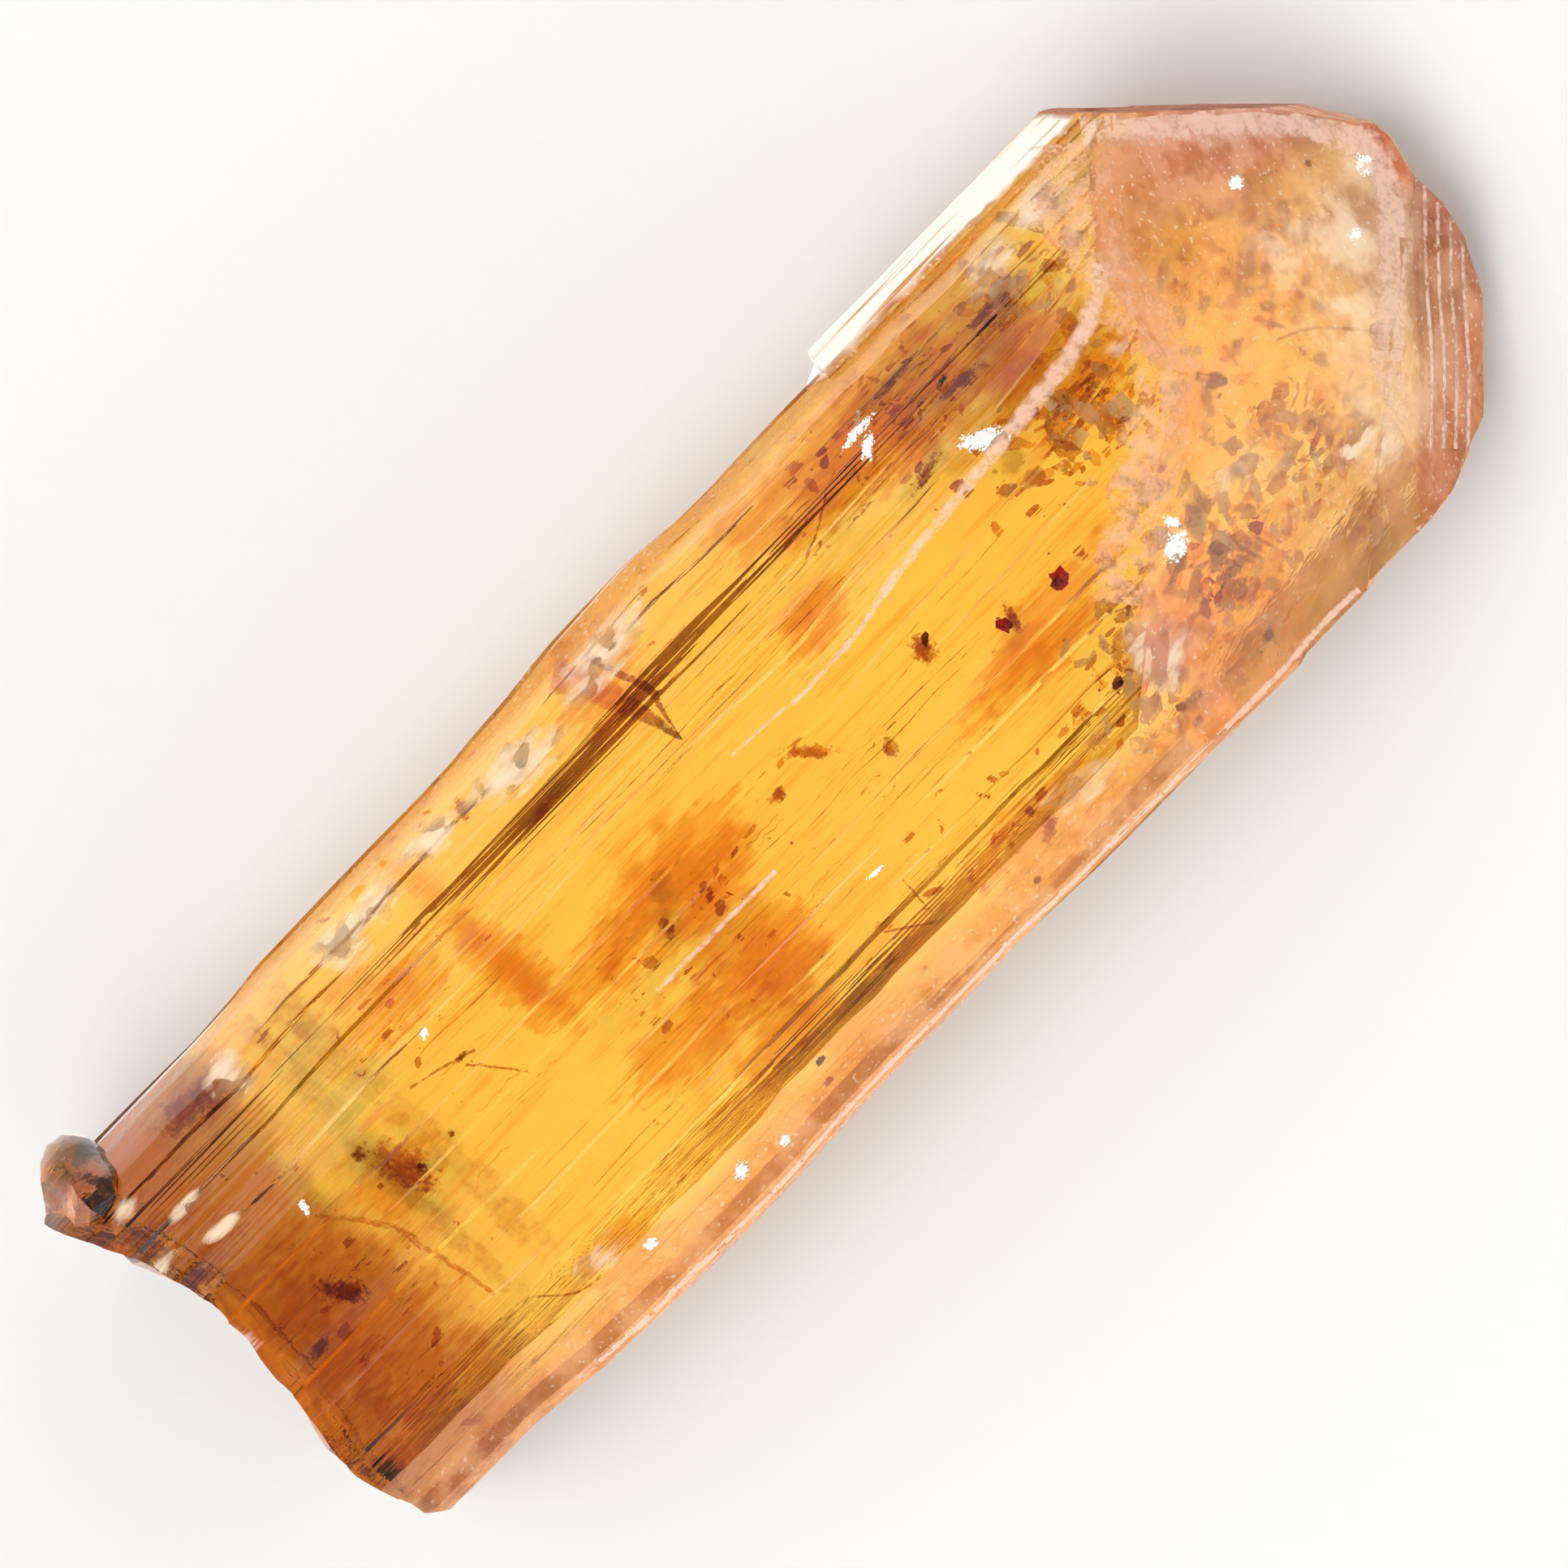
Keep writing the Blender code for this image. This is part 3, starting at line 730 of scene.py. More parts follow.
def along_path(points, share):
    """A place along plan points, smooth between them, and its direction."""
    reach = share * (len(points) - 1)
    index = min(int(reach), len(points) - 2)
    local = reach - index
    knots = [Vector(points[min(max(index + step, 0), len(points) - 1)]) for step in (-1, 0, 1, 2)]
    a, b, c, d = knots
    place = 0.5 * (2.0 * b + (c - a) * local + (2.0 * a - 5.0 * b + 4.0 * c - d) * local ** 2
                   + (3.0 * b - a - 3.0 * c + d) * local ** 3)
    ahead = (c - a) * 0.5 * (1.0 - local) + (d - b) * 0.5 * local
    return place, ahead.normalized()


def ribbon(bm, points, width, depth, cover, under, lean=0.0, segments=24, fan=5):
    """A band that follows plan points under the upper side; width and cover are functions of the share."""
    def place(u, v):
        spot, ahead = along_path(points, u)
        side = Vector((-ahead.y, ahead.x))
        wander = noise.noise(Vector((u * 14.0, v * 2.0, points[0][0])))
        offset = (v - 0.5) * width(u) + 0.1 * width(u) * wander
        flat = spot + side * offset
        return under(flat.x, flat.y, depth + lean * (v - 0.5))

    def edge_cover(u, v):
        strength, dark = cover(u)
        return strength * ease(4.0 * v * (1.0 - v)), dark
    sheet(bm, fan, segments, place, edge_cover)


def lower_edge(first, last):
    """Plan points just inside the lower outline, from one x to another."""
    tree = crystal_tree()
    points = []
    for step in range(31):
        x, y = first + (last - first) * step / 30.0, -6.0
        while tree.ray_cast(mm(x, y, RAY_START), DOWN)[0] is None:
            y += 0.05
        points.append((x, y + 0.15))
    return points


def beside_crease(offset):
    """A path on the second lobe, so many millimetres beside the crease."""
    shift = offset * 0.7
    return [(x + shift, y - shift) for x, y in (CREASE[0], (15.9, -2.1), (14.8, -3.3), CREASE[1])]


# Pale and deep colours of the stained pieces and of the pale plates painted as highlights
FLAKE_COLOURS = ((0.66, 0.28, 0.05), (0.26, 0.07, 0.015))
SPECK_COLOURS = ((0.84, 0.5, 0.18), (0.46, 0.16, 0.03))
OPEN_CRACK_COLOURS = ((0.66, 0.24, 0.04), (0.12, 0.035, 0.01))
CRACK_COLOURS = ((0.7, 0.3, 0.07), (0.2, 0.05, 0.01))
LINE_COLOURS = ((0.75, 0.38, 0.09), (0.28, 0.09, 0.02))
SMOKE_COLOURS = ((0.66, 0.5, 0.36), (0.42, 0.28, 0.17))
CRACKED_COLOURS = ((0.88, 0.46, 0.12), (0.38, 0.13, 0.02))
PAINTED_HIGHLIGHT_COLOURS = ((1.0, 0.84, 0.6), (0.95, 0.5, 0.16))
# The thin edge of a dark grain, where light comes through
GRAIN_EDGE = (0.24, 0.08, 0.02)
# Rust-coloured flakes: place in plan, length and width, turn in degrees, depth and darkness
RUST_FLAKES = (
    ((0.1, 0.18), (1.45, 0.36), -47.0, 0.5, 0.35),
    ((-0.95, -0.02), (0.5, 0.36), 20.0, 0.7, 0.45),
    ((1.31, -1.03), (0.5, 0.34), 60.0, 0.6, 0.55),
    ((3.25, -0.1), (0.75, 0.55), 80.0, 0.5, 0.6),
    ((2.45, -4.45), (0.75, 0.4), 30.0, 0.3, 0.45),
    ((-4.35, 4.02), (0.55, 0.36), 15.0, 0.5, 0.6),
    ((-5.75, 4.26), (0.6, 0.32), 70.0, 0.6, 0.3),
    ((-4.57, 3.21), (1.1, 0.26), 8.0, 0.7, 0.15),
    ((-12.26, 1.0), (0.45, 0.38), 40.0, 0.5, 0.75),
    ((-9.38, 0.91), (0.4, 0.18), 10.0, 0.5, 0.55),
    ((-13.6, 3.95), (1.1, 0.8), 20.0, 0.8, 0.5),
    ((-11.9, 0.15), (1.7, 0.95), -70.0, 1.2, 0.45),
    ((5.9, 2.3), (1.1, 0.28), 4.0, 0.6, 0.7),
    ((7.8, 3.1), (1.6, 0.34), -2.0, 0.8, 0.75),
    ((6.8, 4.05), (1.2, 0.24), 3.0, 0.7, 0.6),
    ((9.0, 3.6), (0.9, 0.34), 12.0, 0.8, 0.65),
    ((8.75, 1.35), (0.8, 0.22), 14.0, 0.6, 0.55),
    ((5.0, -0.95), (0.85, 0.3), 66.0, 0.6, 0.6),
    ((-4.5, -0.3), (0.45, 0.34), 30.0, 0.9, 0.6),
    ((-11.56, -0.1), (0.42, 0.2), -38.0, 0.4, 1.0),
    ((-10.63, -0.05), (0.22, 0.16), 0.0, 0.5, 0.9),
    ((-14.5, -0.6), (1.1, 0.6), -40.0, 0.7, 0.8),
    ((-15.7, -1.1), (0.8, 0.4), 20.0, 0.6, 0.95),
    ((-16.3, 1.6), (0.8, 0.6), -30.0, 0.6, 0.8),
    ((-14.2, 4.1), (1.3, 0.9), 10.0, 0.5, 0.35),
)
# Dark and red grains: place in plan, length, width and height, turn, depth and colour
DARK_GRAINS = (
    ((3.44, 0.02), (0.3, 0.16, 0.14), 45.0, 0.35, "dark"),
    ((11.39, -0.56), (0.55, 0.3, 0.2), -30.0, 0.2, "dark"),
    ((16.16, 1.18), (0.18, 0.14, 0.12), 20.0, 0.08, "dark"),
    ((7.88, -3.63), (0.46, 0.28, 0.24), 60.0, 0.35, "red"),
    ((8.25, -3.68), (0.3, 0.2, 0.18), 40.0, 0.3, "red"),
    ((9.84, -3.23), (0.36, 0.28, 0.22), -50.0, 0.25, "red"),
    ((6.24, -1.05), (0.42, 0.34, 0.26), 20.0, 0.7, "red"),
    ((4.77, -0.91), (0.34, 0.24, 0.2), -60.0, 0.6, "red"),
    ((9.32, -1.01), (0.24, 0.18, 0.16), 0.0, 0.25, "red"),
    ((6.11, -5.19), (0.26, 0.18, 0.16), 0.0, 0.18, "red"),
    ((6.29, -4.75), (0.62, 0.24, 0.2), -20.0, 0.35, "dark"),
    ((5.58, -3.45), (0.36, 0.22, 0.18), 25.0, 0.5, "dark"),
    ((1.51, -5.07), (0.2, 0.14, 0.1), 10.0, 0.12, "dark"),
    ((-4.47, -4.87), (0.22, 0.16, 0.12), 0.0, 0.15, "red"),
    ((-4.3, -4.43), (0.24, 0.16, 0.12), 20.0, 0.2, "dark"),
    ((8.45, -5.0), (0.28, 0.2, 0.16), 20.0, 0.2, "dark"),
    ((11.55, 5.62), (0.14, 0.12, 0.05), 0.0, 0.03, "dark"),
)
# Painted glints: white patches painted where open cracks would mirror the light: place in plan, length and
# width, turn, depth
PAINTED_GLINTS = (
    ((7.22, 2.01), (0.85, 0.38), -30.0, 0.06),
    ((5.55, 3.98), (0.75, 0.16), 22.0, 0.15),
    ((5.45, 3.6), (0.5, 0.2), 60.0, 0.15),
    ((-13.83, 1.03), (0.3, 0.14), 50.0, 0.3),
    ((-9.54, 1.76), (0.2, 0.14), 30.0, 0.3),
    ((-9.42, -4.61), (0.26, 0.18), 0.0, 0.1),
    ((-7.04, -4.87), (0.34, 0.24), 20.0, 0.1),
    ((-5.99, -5.1), (0.22, 0.18), 0.0, 0.1),
    ((-0.72, -2.6), (0.35, 0.08), 5.0, 0.2),
    ((14.77, 1.98), (0.3, 0.26), 20.0, 0.05),
    ((17.04, 0.32), (0.4, 0.34), 60.0, 0.05),
    ((15.8, -0.56), (0.26, 0.2), 0.0, 0.05),
    ((8.7, -1.95), (0.35, 0.18), -45.0, 0.15),
    ((8.4, -2.35), (0.6, 0.4), 10.0, 0.3),
)
# Rim of the main end face: its pale band is a painted highlight of the rounded edge
PAINTED_RIM_HIGHLIGHT = ((13.2, 4.95), (14.5, 3.95), (15.5, 3.05), (16.4, 2.2), (17.1, 1.2), (17.3, 0.2), (16.6, -0.95),
             (15.6, -1.85), (14.5, -2.75), (13.6, -3.8), (13.0, -4.5))
DARK_RIM = ((13.44, 5.6), (14.6, 4.43), (15.6, 3.41), (16.6, 2.4))
RIDGE = ((11.45, 2.82), (10.74, 2.28), (9.67, 1.93), (8.34, 1.79), (7.0, 1.66), (5.67, 1.52), (3.86, 1.35),
         (2.64, 1.11), (1.02, 1.03), (0.23, 1.11), (-1.07, 1.2))
SHOULDER = ((12.86, 5.03), (12.32, 4.41), (11.8, 4.05), (11.72, 3.43), (11.53, 2.64), (11.36, 1.74),
            (11.17, 0.86), (10.9, 0.24), (9.84, -0.39), (8.96, -0.91), (7.88, -1.45), (6.73, -2.35))
ARC = ((-13.79, 0.79), (-13.3, 0.15), (-12.81, -0.66), (-12.7, -1.39), (-12.53, -2.11), (-12.41, -2.92))
# Fine lengthwise lines: y, from x, to x, depth, darkness
LONG_LINES = (
    (2.85, -1.39, 6.02, 0.06, 0.9), (2.3, -6.65, 2.64, 0.08, 0.7), (2.08, -5.03, 6.02, 0.06, 0.8),
    (-0.66, -2.09, 4.33, 0.06, 0.7), (-0.92, -1.2, 3.6, 0.06, 0.6), (-1.5, -2.09, 4.0, 0.08, 0.6),
    (3.9, 2.6, 7.8, 0.2, 0.9), (3.62, 4.1, 9.2, 0.2, 0.9), (4.2, 3.6, 8.6, 0.2, 0.8),
    (3.22, 5.2, 9.9, 0.2, 0.8), (-2.2, -0.5, 4.6, 0.1, 0.5), (0.35, 2.2, 6.6, 0.1, 0.5),
    (-2.9, -9.4, -4.8, 0.12, 0.4), (-1.9, -9.9, -5.2, 0.12, 0.4), (1.5, -10.2, -6.1, 0.12, 0.4),
)


def build_flakes():
    """Rust-coloured flakes with ragged edges, and small specks, densest towards the terminated end."""
    _, matter, _ = settings()
    rng = random.Random(matter.seed)
    under = upper_surface()
    bm = inclusion_mesh()
    for place, size, turn, depth, dark in RUST_FLAKES:
        for layer in range(2):
            spot = [value + rng.uniform(-0.12, 0.12) * size[1] for value in place]
            cloud(bm, spot, [value * (1.6 - 0.4 * layer) for value in size], turn + rng.uniform(-12, 12),
                  depth + 0.1 * layer, (1.0, dark), under, segments=8)
    pieces = [add_piece("rust_flakes", bm, stain_material("rusty flakes", *FLAKE_COLOURS, 4.0))]
    bm = inclusion_mesh()
    zones = (((6.2, 3.6), (3.4, 1.2), 110), ((8.6, 0.8), (2.6, 1.5), 80), ((7.0, -3.4), (2.6, 1.5), 90),
             ((1.0, -3.6), (4.0, 1.4), 40), ((-4.0, -0.8), (3.0, 2.2), 50), ((-10.0, 2.2), (2.6, 2.0), 30),
             ((-13.8, -0.6), (1.6, 3.2), 40), ((13.8, 1.6), (2.4, 2.6), 80), ((-1.4, 4.6), (2.0, 0.6), 30),
             ((13.0, -2.8), (2.2, 1.6), 60), ((-3.0, 4.9), (8.0, 0.4), 60))
    for (x, y), (along, across), count in zones:
        for _ in range(count):
            spot = under(x + rng.gauss(0.0, 0.5) * along, y + rng.gauss(0.0, 0.5) * across,
                         rng.uniform(0.12, 2.6))
            length = rng.choice((0.06, 0.08, 0.12, 0.18, 0.3, 0.42))
            size = (length, length * rng.uniform(0.25, 0.6), length * rng.uniform(0.2, 0.4))
            grain(bm, spot, size, flat_turn(rng.gauss(4.0, 30.0), rng.uniform(-30, 30)),
                  (1.1, rng.uniform(-0.2, 0.8)), rng, detail=1)
    pieces.append(add_piece("rust_specks", bm, stain_material("rusty specks", *SPECK_COLOURS, 4.5)))
    return pieces


def build_streaks():
    """Orange sheets frayed into lengthwise streaks, at several depths: painted shade over the darker
    patches, and stains over the ends and other zones.
    """
    _, matter, _ = settings()
    rng = random.Random(matter.seed + 6)
    under = upper_surface()
    bm = inclusion_mesh()
    # Painted shade over the darker patches
    for centre, (along, across), strength in PAINTED_SHADE_PATCHES:
        cloud(bm, centre, (along * 4.2, across * 3.4), rng.uniform(-8, 8), rng.uniform(0.6, 2.6),
              (0.8 + 0.45 * strength, 0.3), under, segments=14)
    for centre, size, dark in (((6.0, 3.5), (9.5, 3.6), 0.4), ((8.9, 2.9), (3.8, 2.6), 0.5),
                               ((4.6, -1.9), (6.5, 2.2), 0.1), ((-16.4, -0.5), (6.0, 14.0), 0.6),
                               ((-14.6, -1.6), (6.0, 10.0), 0.3), ((-16.0, 3.6), (5.5, 6.0), 0.1)):
        cloud(bm, centre, size, 0.0, 0.7, (1.1, dark), under, segments=20)
    material = stain_material("orange stains and painted shade", matter.stain_and_painted_shade, matter.rust_and_painted_shade, 2.0, along=0.28, strength=0.95)
    return add_piece("orange_stains_and_painted_shade", bm, material)


def build_grains():
    """Dark brown and dark red grains."""
    _, matter, _ = settings()
    under = upper_surface()
    pieces = []
    for colour, pale, deep in (("dark", GRAIN_EDGE, matter.dark), ("red", matter.red, matter.dark)):
        rng = random.Random(matter.seed + 1)
        bm = inclusion_mesh()
        for (x, y), size, turn, depth, kind in DARK_GRAINS:
            if kind != colour:
                continue
            grain(bm, under(x, y, depth), size, flat_turn(turn, rng.uniform(-15, 15)), (1.2, 0.4), rng)
            for _ in range(3 if x > 4.0 else 0):
                spot = under(x + rng.gauss(0.0, 0.5) * size[0], y + rng.gauss(0.0, 0.5) * size[0],
                             depth + rng.uniform(0.0, 0.3))
                grain(bm, spot, [value * rng.uniform(0.15, 0.45) for value in size],
                      flat_turn(rng.uniform(0, 180)), (1.2, 0.4), rng, detail=1)
        pieces.append(add_piece(colour + "_grains", bm, stain_material(colour + " grains", pale, deep, 5.0)))
    return pieces


def build_painted_glints():
    """Painted glints: white patches painted where open cracks and chips would mirror the light."""
    _, matter, _ = settings()
    rng = random.Random(matter.seed + 2)
    under = upper_surface()
    bm = inclusion_mesh()
    for place, size, turn, depth in PAINTED_GLINTS:
        for layer in range(2):
            cloud(bm, place, [value * (2.4 - 0.4 * layer) for value in size], turn + rng.uniform(-25, 25),
                  depth * layer - GLINT_LIFT, (0.85, 0.1), under, segments=12)
    material = inclusion_material("painted white glints", matter.frost_white_and_painted_glint, matter.veil_and_painted_reflection, 0.35, 9.0, low=0.42, high=0.62)
    return add_piece("glints", bm, material, margin=-GLINT_LIFT)


def build_cracks():
    """The open crack by the upper edge, the curved fracture and small cracks, and painted shade on the steps
    beside the crease.
    """
    _, matter, _ = settings()
    under = upper_surface()
    bm = inclusion_mesh()
    tooth = ((-2.4, 5.0), (-2.1, 4.4), (-1.85, 3.6), (-1.66, 2.9), (-1.51, 2.16))
    ribbon(bm, tooth, lambda u: 0.85 * (1.0 - u) ** 0.7 + 0.04, 0.16, lambda u: (1.0, 1.5 * u ** 3), under,
           lean=0.5)
    pieces = [add_piece("open_crack", bm, stain_material(
        "open crack", *OPEN_CRACK_COLOURS, 2.5, along=0.6, low=0.0))]
    bm = inclusion_mesh()
    side = ((-1.72, 4.85), (-1.45, 4.0), (-1.25, 3.35), (-1.4, 2.75), (-1.51, 2.16))
    ribbon(bm, side, lambda u: 0.22 * math.sin(math.pi * min(u + 0.1, 1.0)) + 0.03, 0.1,
           lambda u: (1.0, 0.75), under)
    ribbon(bm, ARC, lambda u: 0.13 + 0.1 * math.sin(math.pi * u), 0.5, lambda u: (0.75, 0.25), under,
           lean=0.6)
    for path in (((-10.55, 1.2), (-9.8, 1.02), (-9.06, 0.79)), ((-9.42, 0.71), (-9.0, 0.2), (-8.61, -0.34)),
                 ((-0.43, -3.09), (-0.5, -3.97)), ((-1.48, -3.56), (-0.52, -4.22)),
                 ((2.81, 2.85), (3.5, 3.15), (4.18, 3.55)), ((-11.9, -3.6), (-11.2, -4.2), (-10.6, -4.3)),
                 ((14.6, 2.6), (15.0, 1.9), (15.6, 1.5)), ((12.9, -0.9), (13.7, -1.3), (14.6, -2.3))):
        ribbon(bm, path, lambda u: 0.09, 0.15, lambda u: (0.8, 0.6), under, lean=0.1, segments=10, fan=3)
    ribbon(bm, DARK_RIM, lambda u: 0.3 - 0.2 * u, 0.03, lambda u: (1.0, 0.9), under, segments=30, fan=3)
    # Painted shade: dark lines on the steep steps beside the crease
    for step in range(5):
        ribbon(bm, beside_crease(0.12 + 0.26 * step), lambda u: 0.16, 0.05, lambda u: (0.9, 0.4), under,
               segments=30, fan=3)
    material = stain_material("rusty cracks and painted step shade", *CRACK_COLOURS, 3.0)
    return pieces + [add_piece("cracks", bm, material)]


def build_lines():
    """Fine dark lines that run lengthwise under the striated front."""
    _, matter, _ = settings()
    rng = random.Random(matter.seed + 3)
    under = upper_surface()
    bm = inclusion_mesh()

    def line(y, first, last, depth, dark, width):
        knots = [(first + (last - first) * step / 6.0, y + rng.uniform(-0.04, 0.04)) for step in range(7)]
        ribbon(bm, knots, lambda u: width * (0.5 + 0.5 * math.sin(math.pi * u)), depth,
               lambda u: (0.75, dark), under, segments=26, fan=2)
    for y, first, last, depth, dark in LONG_LINES:
        line(y, first, last, depth, dark, 0.055)
    zones = (((5.8, 3.5), (2.2, 0.9), 26, 0.7), ((-4.0, -0.8), (3.0, 1.6), 26, 0.2),
             ((1.0, -1.6), (3.4, 1.4), 18, 0.4), ((-8.4, 0.5), (2.2, 2.0), 16, 0.2),
             ((-14.2, -0.8), (1.4, 2.6), 16, 0.4), ((1.5, 2.9), (3.0, 1.2), 16, 0.3))
    for (x, y), (along, across), count, dark in zones:
        for _ in range(count):
            middle = x + rng.gauss(0.0, 0.5) * along
            half = rng.uniform(0.25, 1.3)
            line(y + rng.gauss(0.0, 0.5) * across, middle - half, middle + half, rng.uniform(0.1, 1.2),
                 dark + rng.uniform(-0.2, 0.2), rng.uniform(0.02, 0.07))
    material = stain_material("lengthwise lines", *LINE_COLOURS, 3.0, along=0.3)
    return add_piece("growth_lines", bm, material)


def build_ridges():
    """Pink frosted crests on the front's ridge, the shoulder and the lower edge, and painted highlights: the
    pale band along the inner rim and the pale lines beside the crease.
    """
    _, matter, _ = settings()
    under = upper_surface()
    bm = inclusion_mesh()

    def crest(path, width, cover, **fineness):
        ribbon(bm, path, width, -CREST_LIFT, cover, under, **fineness)
    crest(RIDGE, lambda u: 0.62 * (1.0 - u) ** 1.4 + 0.1, lambda u: (1.1 - 0.35 * u, -0.1), segments=80)
    crest(SHOULDER, lambda u: 2.3 - 0.7 * u, lambda u: (0.72, 0.55), segments=80, fan=16)
    # Painted highlight: a pale band along the rounded inner rim
    crest(PAINTED_RIM_HIGHLIGHT, lambda u: 1.0, lambda u: (1.0 - 0.8 * ease(4.0 * u - 3.0), 0.0), segments=80, fan=8)
    crest(lower_edge(-12.5, 10.5), lambda u: 0.22, lambda u: (1.2, -0.3), segments=120, fan=3)
    crest(((-5.6, -1.06), (-3.9, -1.08), (-2.12, -1.1)), lambda u: 0.16, lambda u: (0.9, 0.0))
    # Painted highlights: pale lines on the steps beside the crease
    for step in range(4):
        crest(beside_crease(0.35 + 0.28 * step), lambda u: 0.14, lambda u: (0.9, 0.1), segments=30, fan=3)
    material = inclusion_material("pink crests and painted highlights", matter.blush, matter.peach, 0.7, 2.6, thick=0.9, low=0.15,
                                  high=1.2, through=0.2)
    return add_piece("crests", bm, material, margin=-CREST_LIFT)


def build_veils():
    """Pale and greyish veils: bands across the prism, wisps, and a ragged sheet by the open crack; the pale
    patches along the upper flank are painted reflections of the light.
    """
    _, matter, _ = settings()
    under = upper_surface()
    pieces = []
    bm = inclusion_mesh()
    for path, width, depth in (
            (((-11.2, 4.95), (-11.2, 4.0), (-11.25, 2.9), (-11.1, 1.6)), 1.3, 0.6),
            (((-12.0, 4.75), (-12.0, 3.8), (-12.05, 2.9), (-12.1, 1.6)), 0.7, 0.8),
            (((-11.1, 2.2), (-11.0, 0.4), (-10.95, -1.4), (-11.1, -3.9)), 1.0, 1.0),
            (((-12.1, 1.8), (-12.15, 0.0), (-12.1, -2.0), (-12.0, -3.9)), 0.6, 0.9)):
        ribbon(bm, path, lambda u, width=width: width, depth,
               lambda u: (0.8 * ease(5.0 * u * (1.0 - u)), 0.3), under, lean=0.5, segments=30, fan=10)
    for centre, size, turn, depth, cover in (((13.72, -0.75), (1.1, 0.8), 30.0, 0.06, 0.9),
                                             ((13.55, -0.2), (0.5, 0.4), 60.0, 0.06, 0.9),
                                             ((15.3, -1.1), (0.6, 0.45), 60.0, 0.06, 0.9),
                                             ((9.45, -1.8), (2.0, 0.55), -117.0, 0.15, 1.1),
                                             ((9.55, -3.3), (0.6, 0.3), -45.0, 0.15, 1.1),
                                             ((-11.2, 3.6), (1.1, 0.9), 60.0, 0.4, 1.0),
                                             ((-3.98, 0.4), (1.3, 0.9), 35.0, 1.4, 1.1),
                                             ((7.3, 1.3), (1.0, 0.8), 20.0, 0.4, 1.3),
                                             ((11.45, 3.43), (0.6, 0.5), 30.0, 0.1, 1.2)):
        cloud(bm, centre, size, turn, depth, (cover, 0.7), under)
    pieces.append(add_piece("smoky_veils", bm, stain_material(
        "smoky veils", *SMOKE_COLOURS, 1.6, low=0.1, high=1.1, strength=0.9)))
    # Pale patches; those along the upper flank are painted reflections of the light
    bm = inclusion_mesh()
    rng = random.Random(matter.seed + 4)
    for (x, y), (along, across), depth, cover in (
            ((-1.4, 4.6), (4.6, 1.6), 0.2, 0.85), ((11.6, 4.5), (2.2, 1.6), 0.2, 1.0),
            ((10.0, 4.35), (2.4, 1.2), 0.3, 0.9), ((12.8, -3.8), (2.6, 2.4), 0.05, 0.8),
            ((6.7, -3.7), (2.2, 2.8), 0.05, 0.9), ((-13.0, 4.0), (1.7, 1.7), 0.3, 1.1),
            ((-9.4, 4.3), (2.6, 1.7), 0.3, 1.05), ((-8.2, 4.35), (2.0, 1.3), 0.3, 1.0),
            ((-6.6, 4.35), (2.6, 1.3), 0.3, 1.0), ((-4.5, 4.25), (4.6, 1.6), 0.3, 1.0),
            ((10.5, 1.4), (0.8, 0.7), 0.2, 1.0), ((10.3, -2.2), (1.8, 0.9), 0.1, 0.8),
            ((3.6, -4.4), (3.0, 1.0), 0.15, 0.75), ((-16.78, 2.33), (1.3, 0.5), 0.1, 1.2),
            ((-16.45, 3.7), (1.0, 0.6), 0.1, 1.1), ((-15.48, 2.89), (1.4, 0.4), 0.1, 1.2),
            ((-15.25, 1.96), (1.4, 0.4), 0.1, 1.2), ((-10.4, -4.0), (2.4, 1.2), 0.1, 0.7)):
        for layer in range(2):
            spot = (x + rng.uniform(-0.1, 0.1), y + rng.uniform(-0.1, 0.1))
            cloud(bm, spot, (along, across), rng.uniform(-12, 12), 0.1 * depth * layer - VEIL_LIFT,
                  (cover, 0.0), under, segments=18)
    pieces.append(add_piece("pale_veils_and_painted_reflections", bm, inclusion_material(
        "pale veils and painted reflections", matter.veil_and_painted_reflection, matter.blush, 0.6, 1.6, along=0.35, thick=0.75, low=0.1, high=1.2,
        through=0.1), margin=-VEIL_LIFT))
    return pieces


def build_crackle():
    """Clusters of small cracked plates: stained plates that darken, and pale plates that are painted
    highlights where crack faces would mirror the light.
    """
    _, matter, _ = settings()
    rng = random.Random(matter.seed + 5)
    under = upper_surface()
    bm = inclusion_mesh()
    bright = inclusion_mesh()
    zones = (((8.6, -3.0), (2.2, 1.8), 170), ((11.6, -2.6), (2.2, 2.0), 150), ((9.4, 1.0), (2.4, 1.6), 110),
             ((10.0, 3.8), (1.8, 1.0), 60), ((6.0, -3.8), (1.6, 1.6), 70), ((13.6, 0.6), (2.2, 2.4), 90))
    for (x, y), (along, across), count in zones:
        for _ in range(count):
            # Pale plates are painted highlights where crack faces would mirror the light
            pale = rng.random() < 0.45
            spot = under(x + rng.gauss(0.0, 0.45) * along, y + rng.gauss(0.0, 0.45) * across,
                         rng.uniform(0.05, 0.7 if pale else 1.8))
            length = rng.uniform(0.12, 0.85)
            plate(bright if pale else bm, spot, (length, length * rng.uniform(0.3, 0.8)),
                  flat_turn(rng.uniform(-70, 70), rng.uniform(-60, 60), rng.uniform(-60, 60)),
                  (rng.uniform(0.5, 1.0), rng.choice((0.1, 0.4, 0.7, 1.0))), rng, sides=6)
    for step in range(7):
        spot = under(8.75 + 0.2 * step, -3.22 - 0.07 * step, 0.35)
        dark = 1.4 if step % 2 else 0.0
        plate(bm, spot, (0.1, 0.75), flat_turn(18.0, 0.0, 10.0), (0.9, dark), rng, sides=6, uneven=0.1)
    stained = stain_material("cracked plates", *CRACKED_COLOURS, 3.0)
    milky = inclusion_material("painted highlight plates", *PAINTED_HIGHLIGHT_COLOURS, 0.2, 3.0, thick=0.85, through=0.15)
    return [add_piece("cracked_plates", bm, stained), add_piece("painted_highlight_plates", bright, milky)]


# Where the studio's softbox is
KEY_DIRECTION = (-0.45, 0.05, 0.89)
# Where its weaker fill light is
FILL_DIRECTION = (-0.25, 0.62, 0.74)
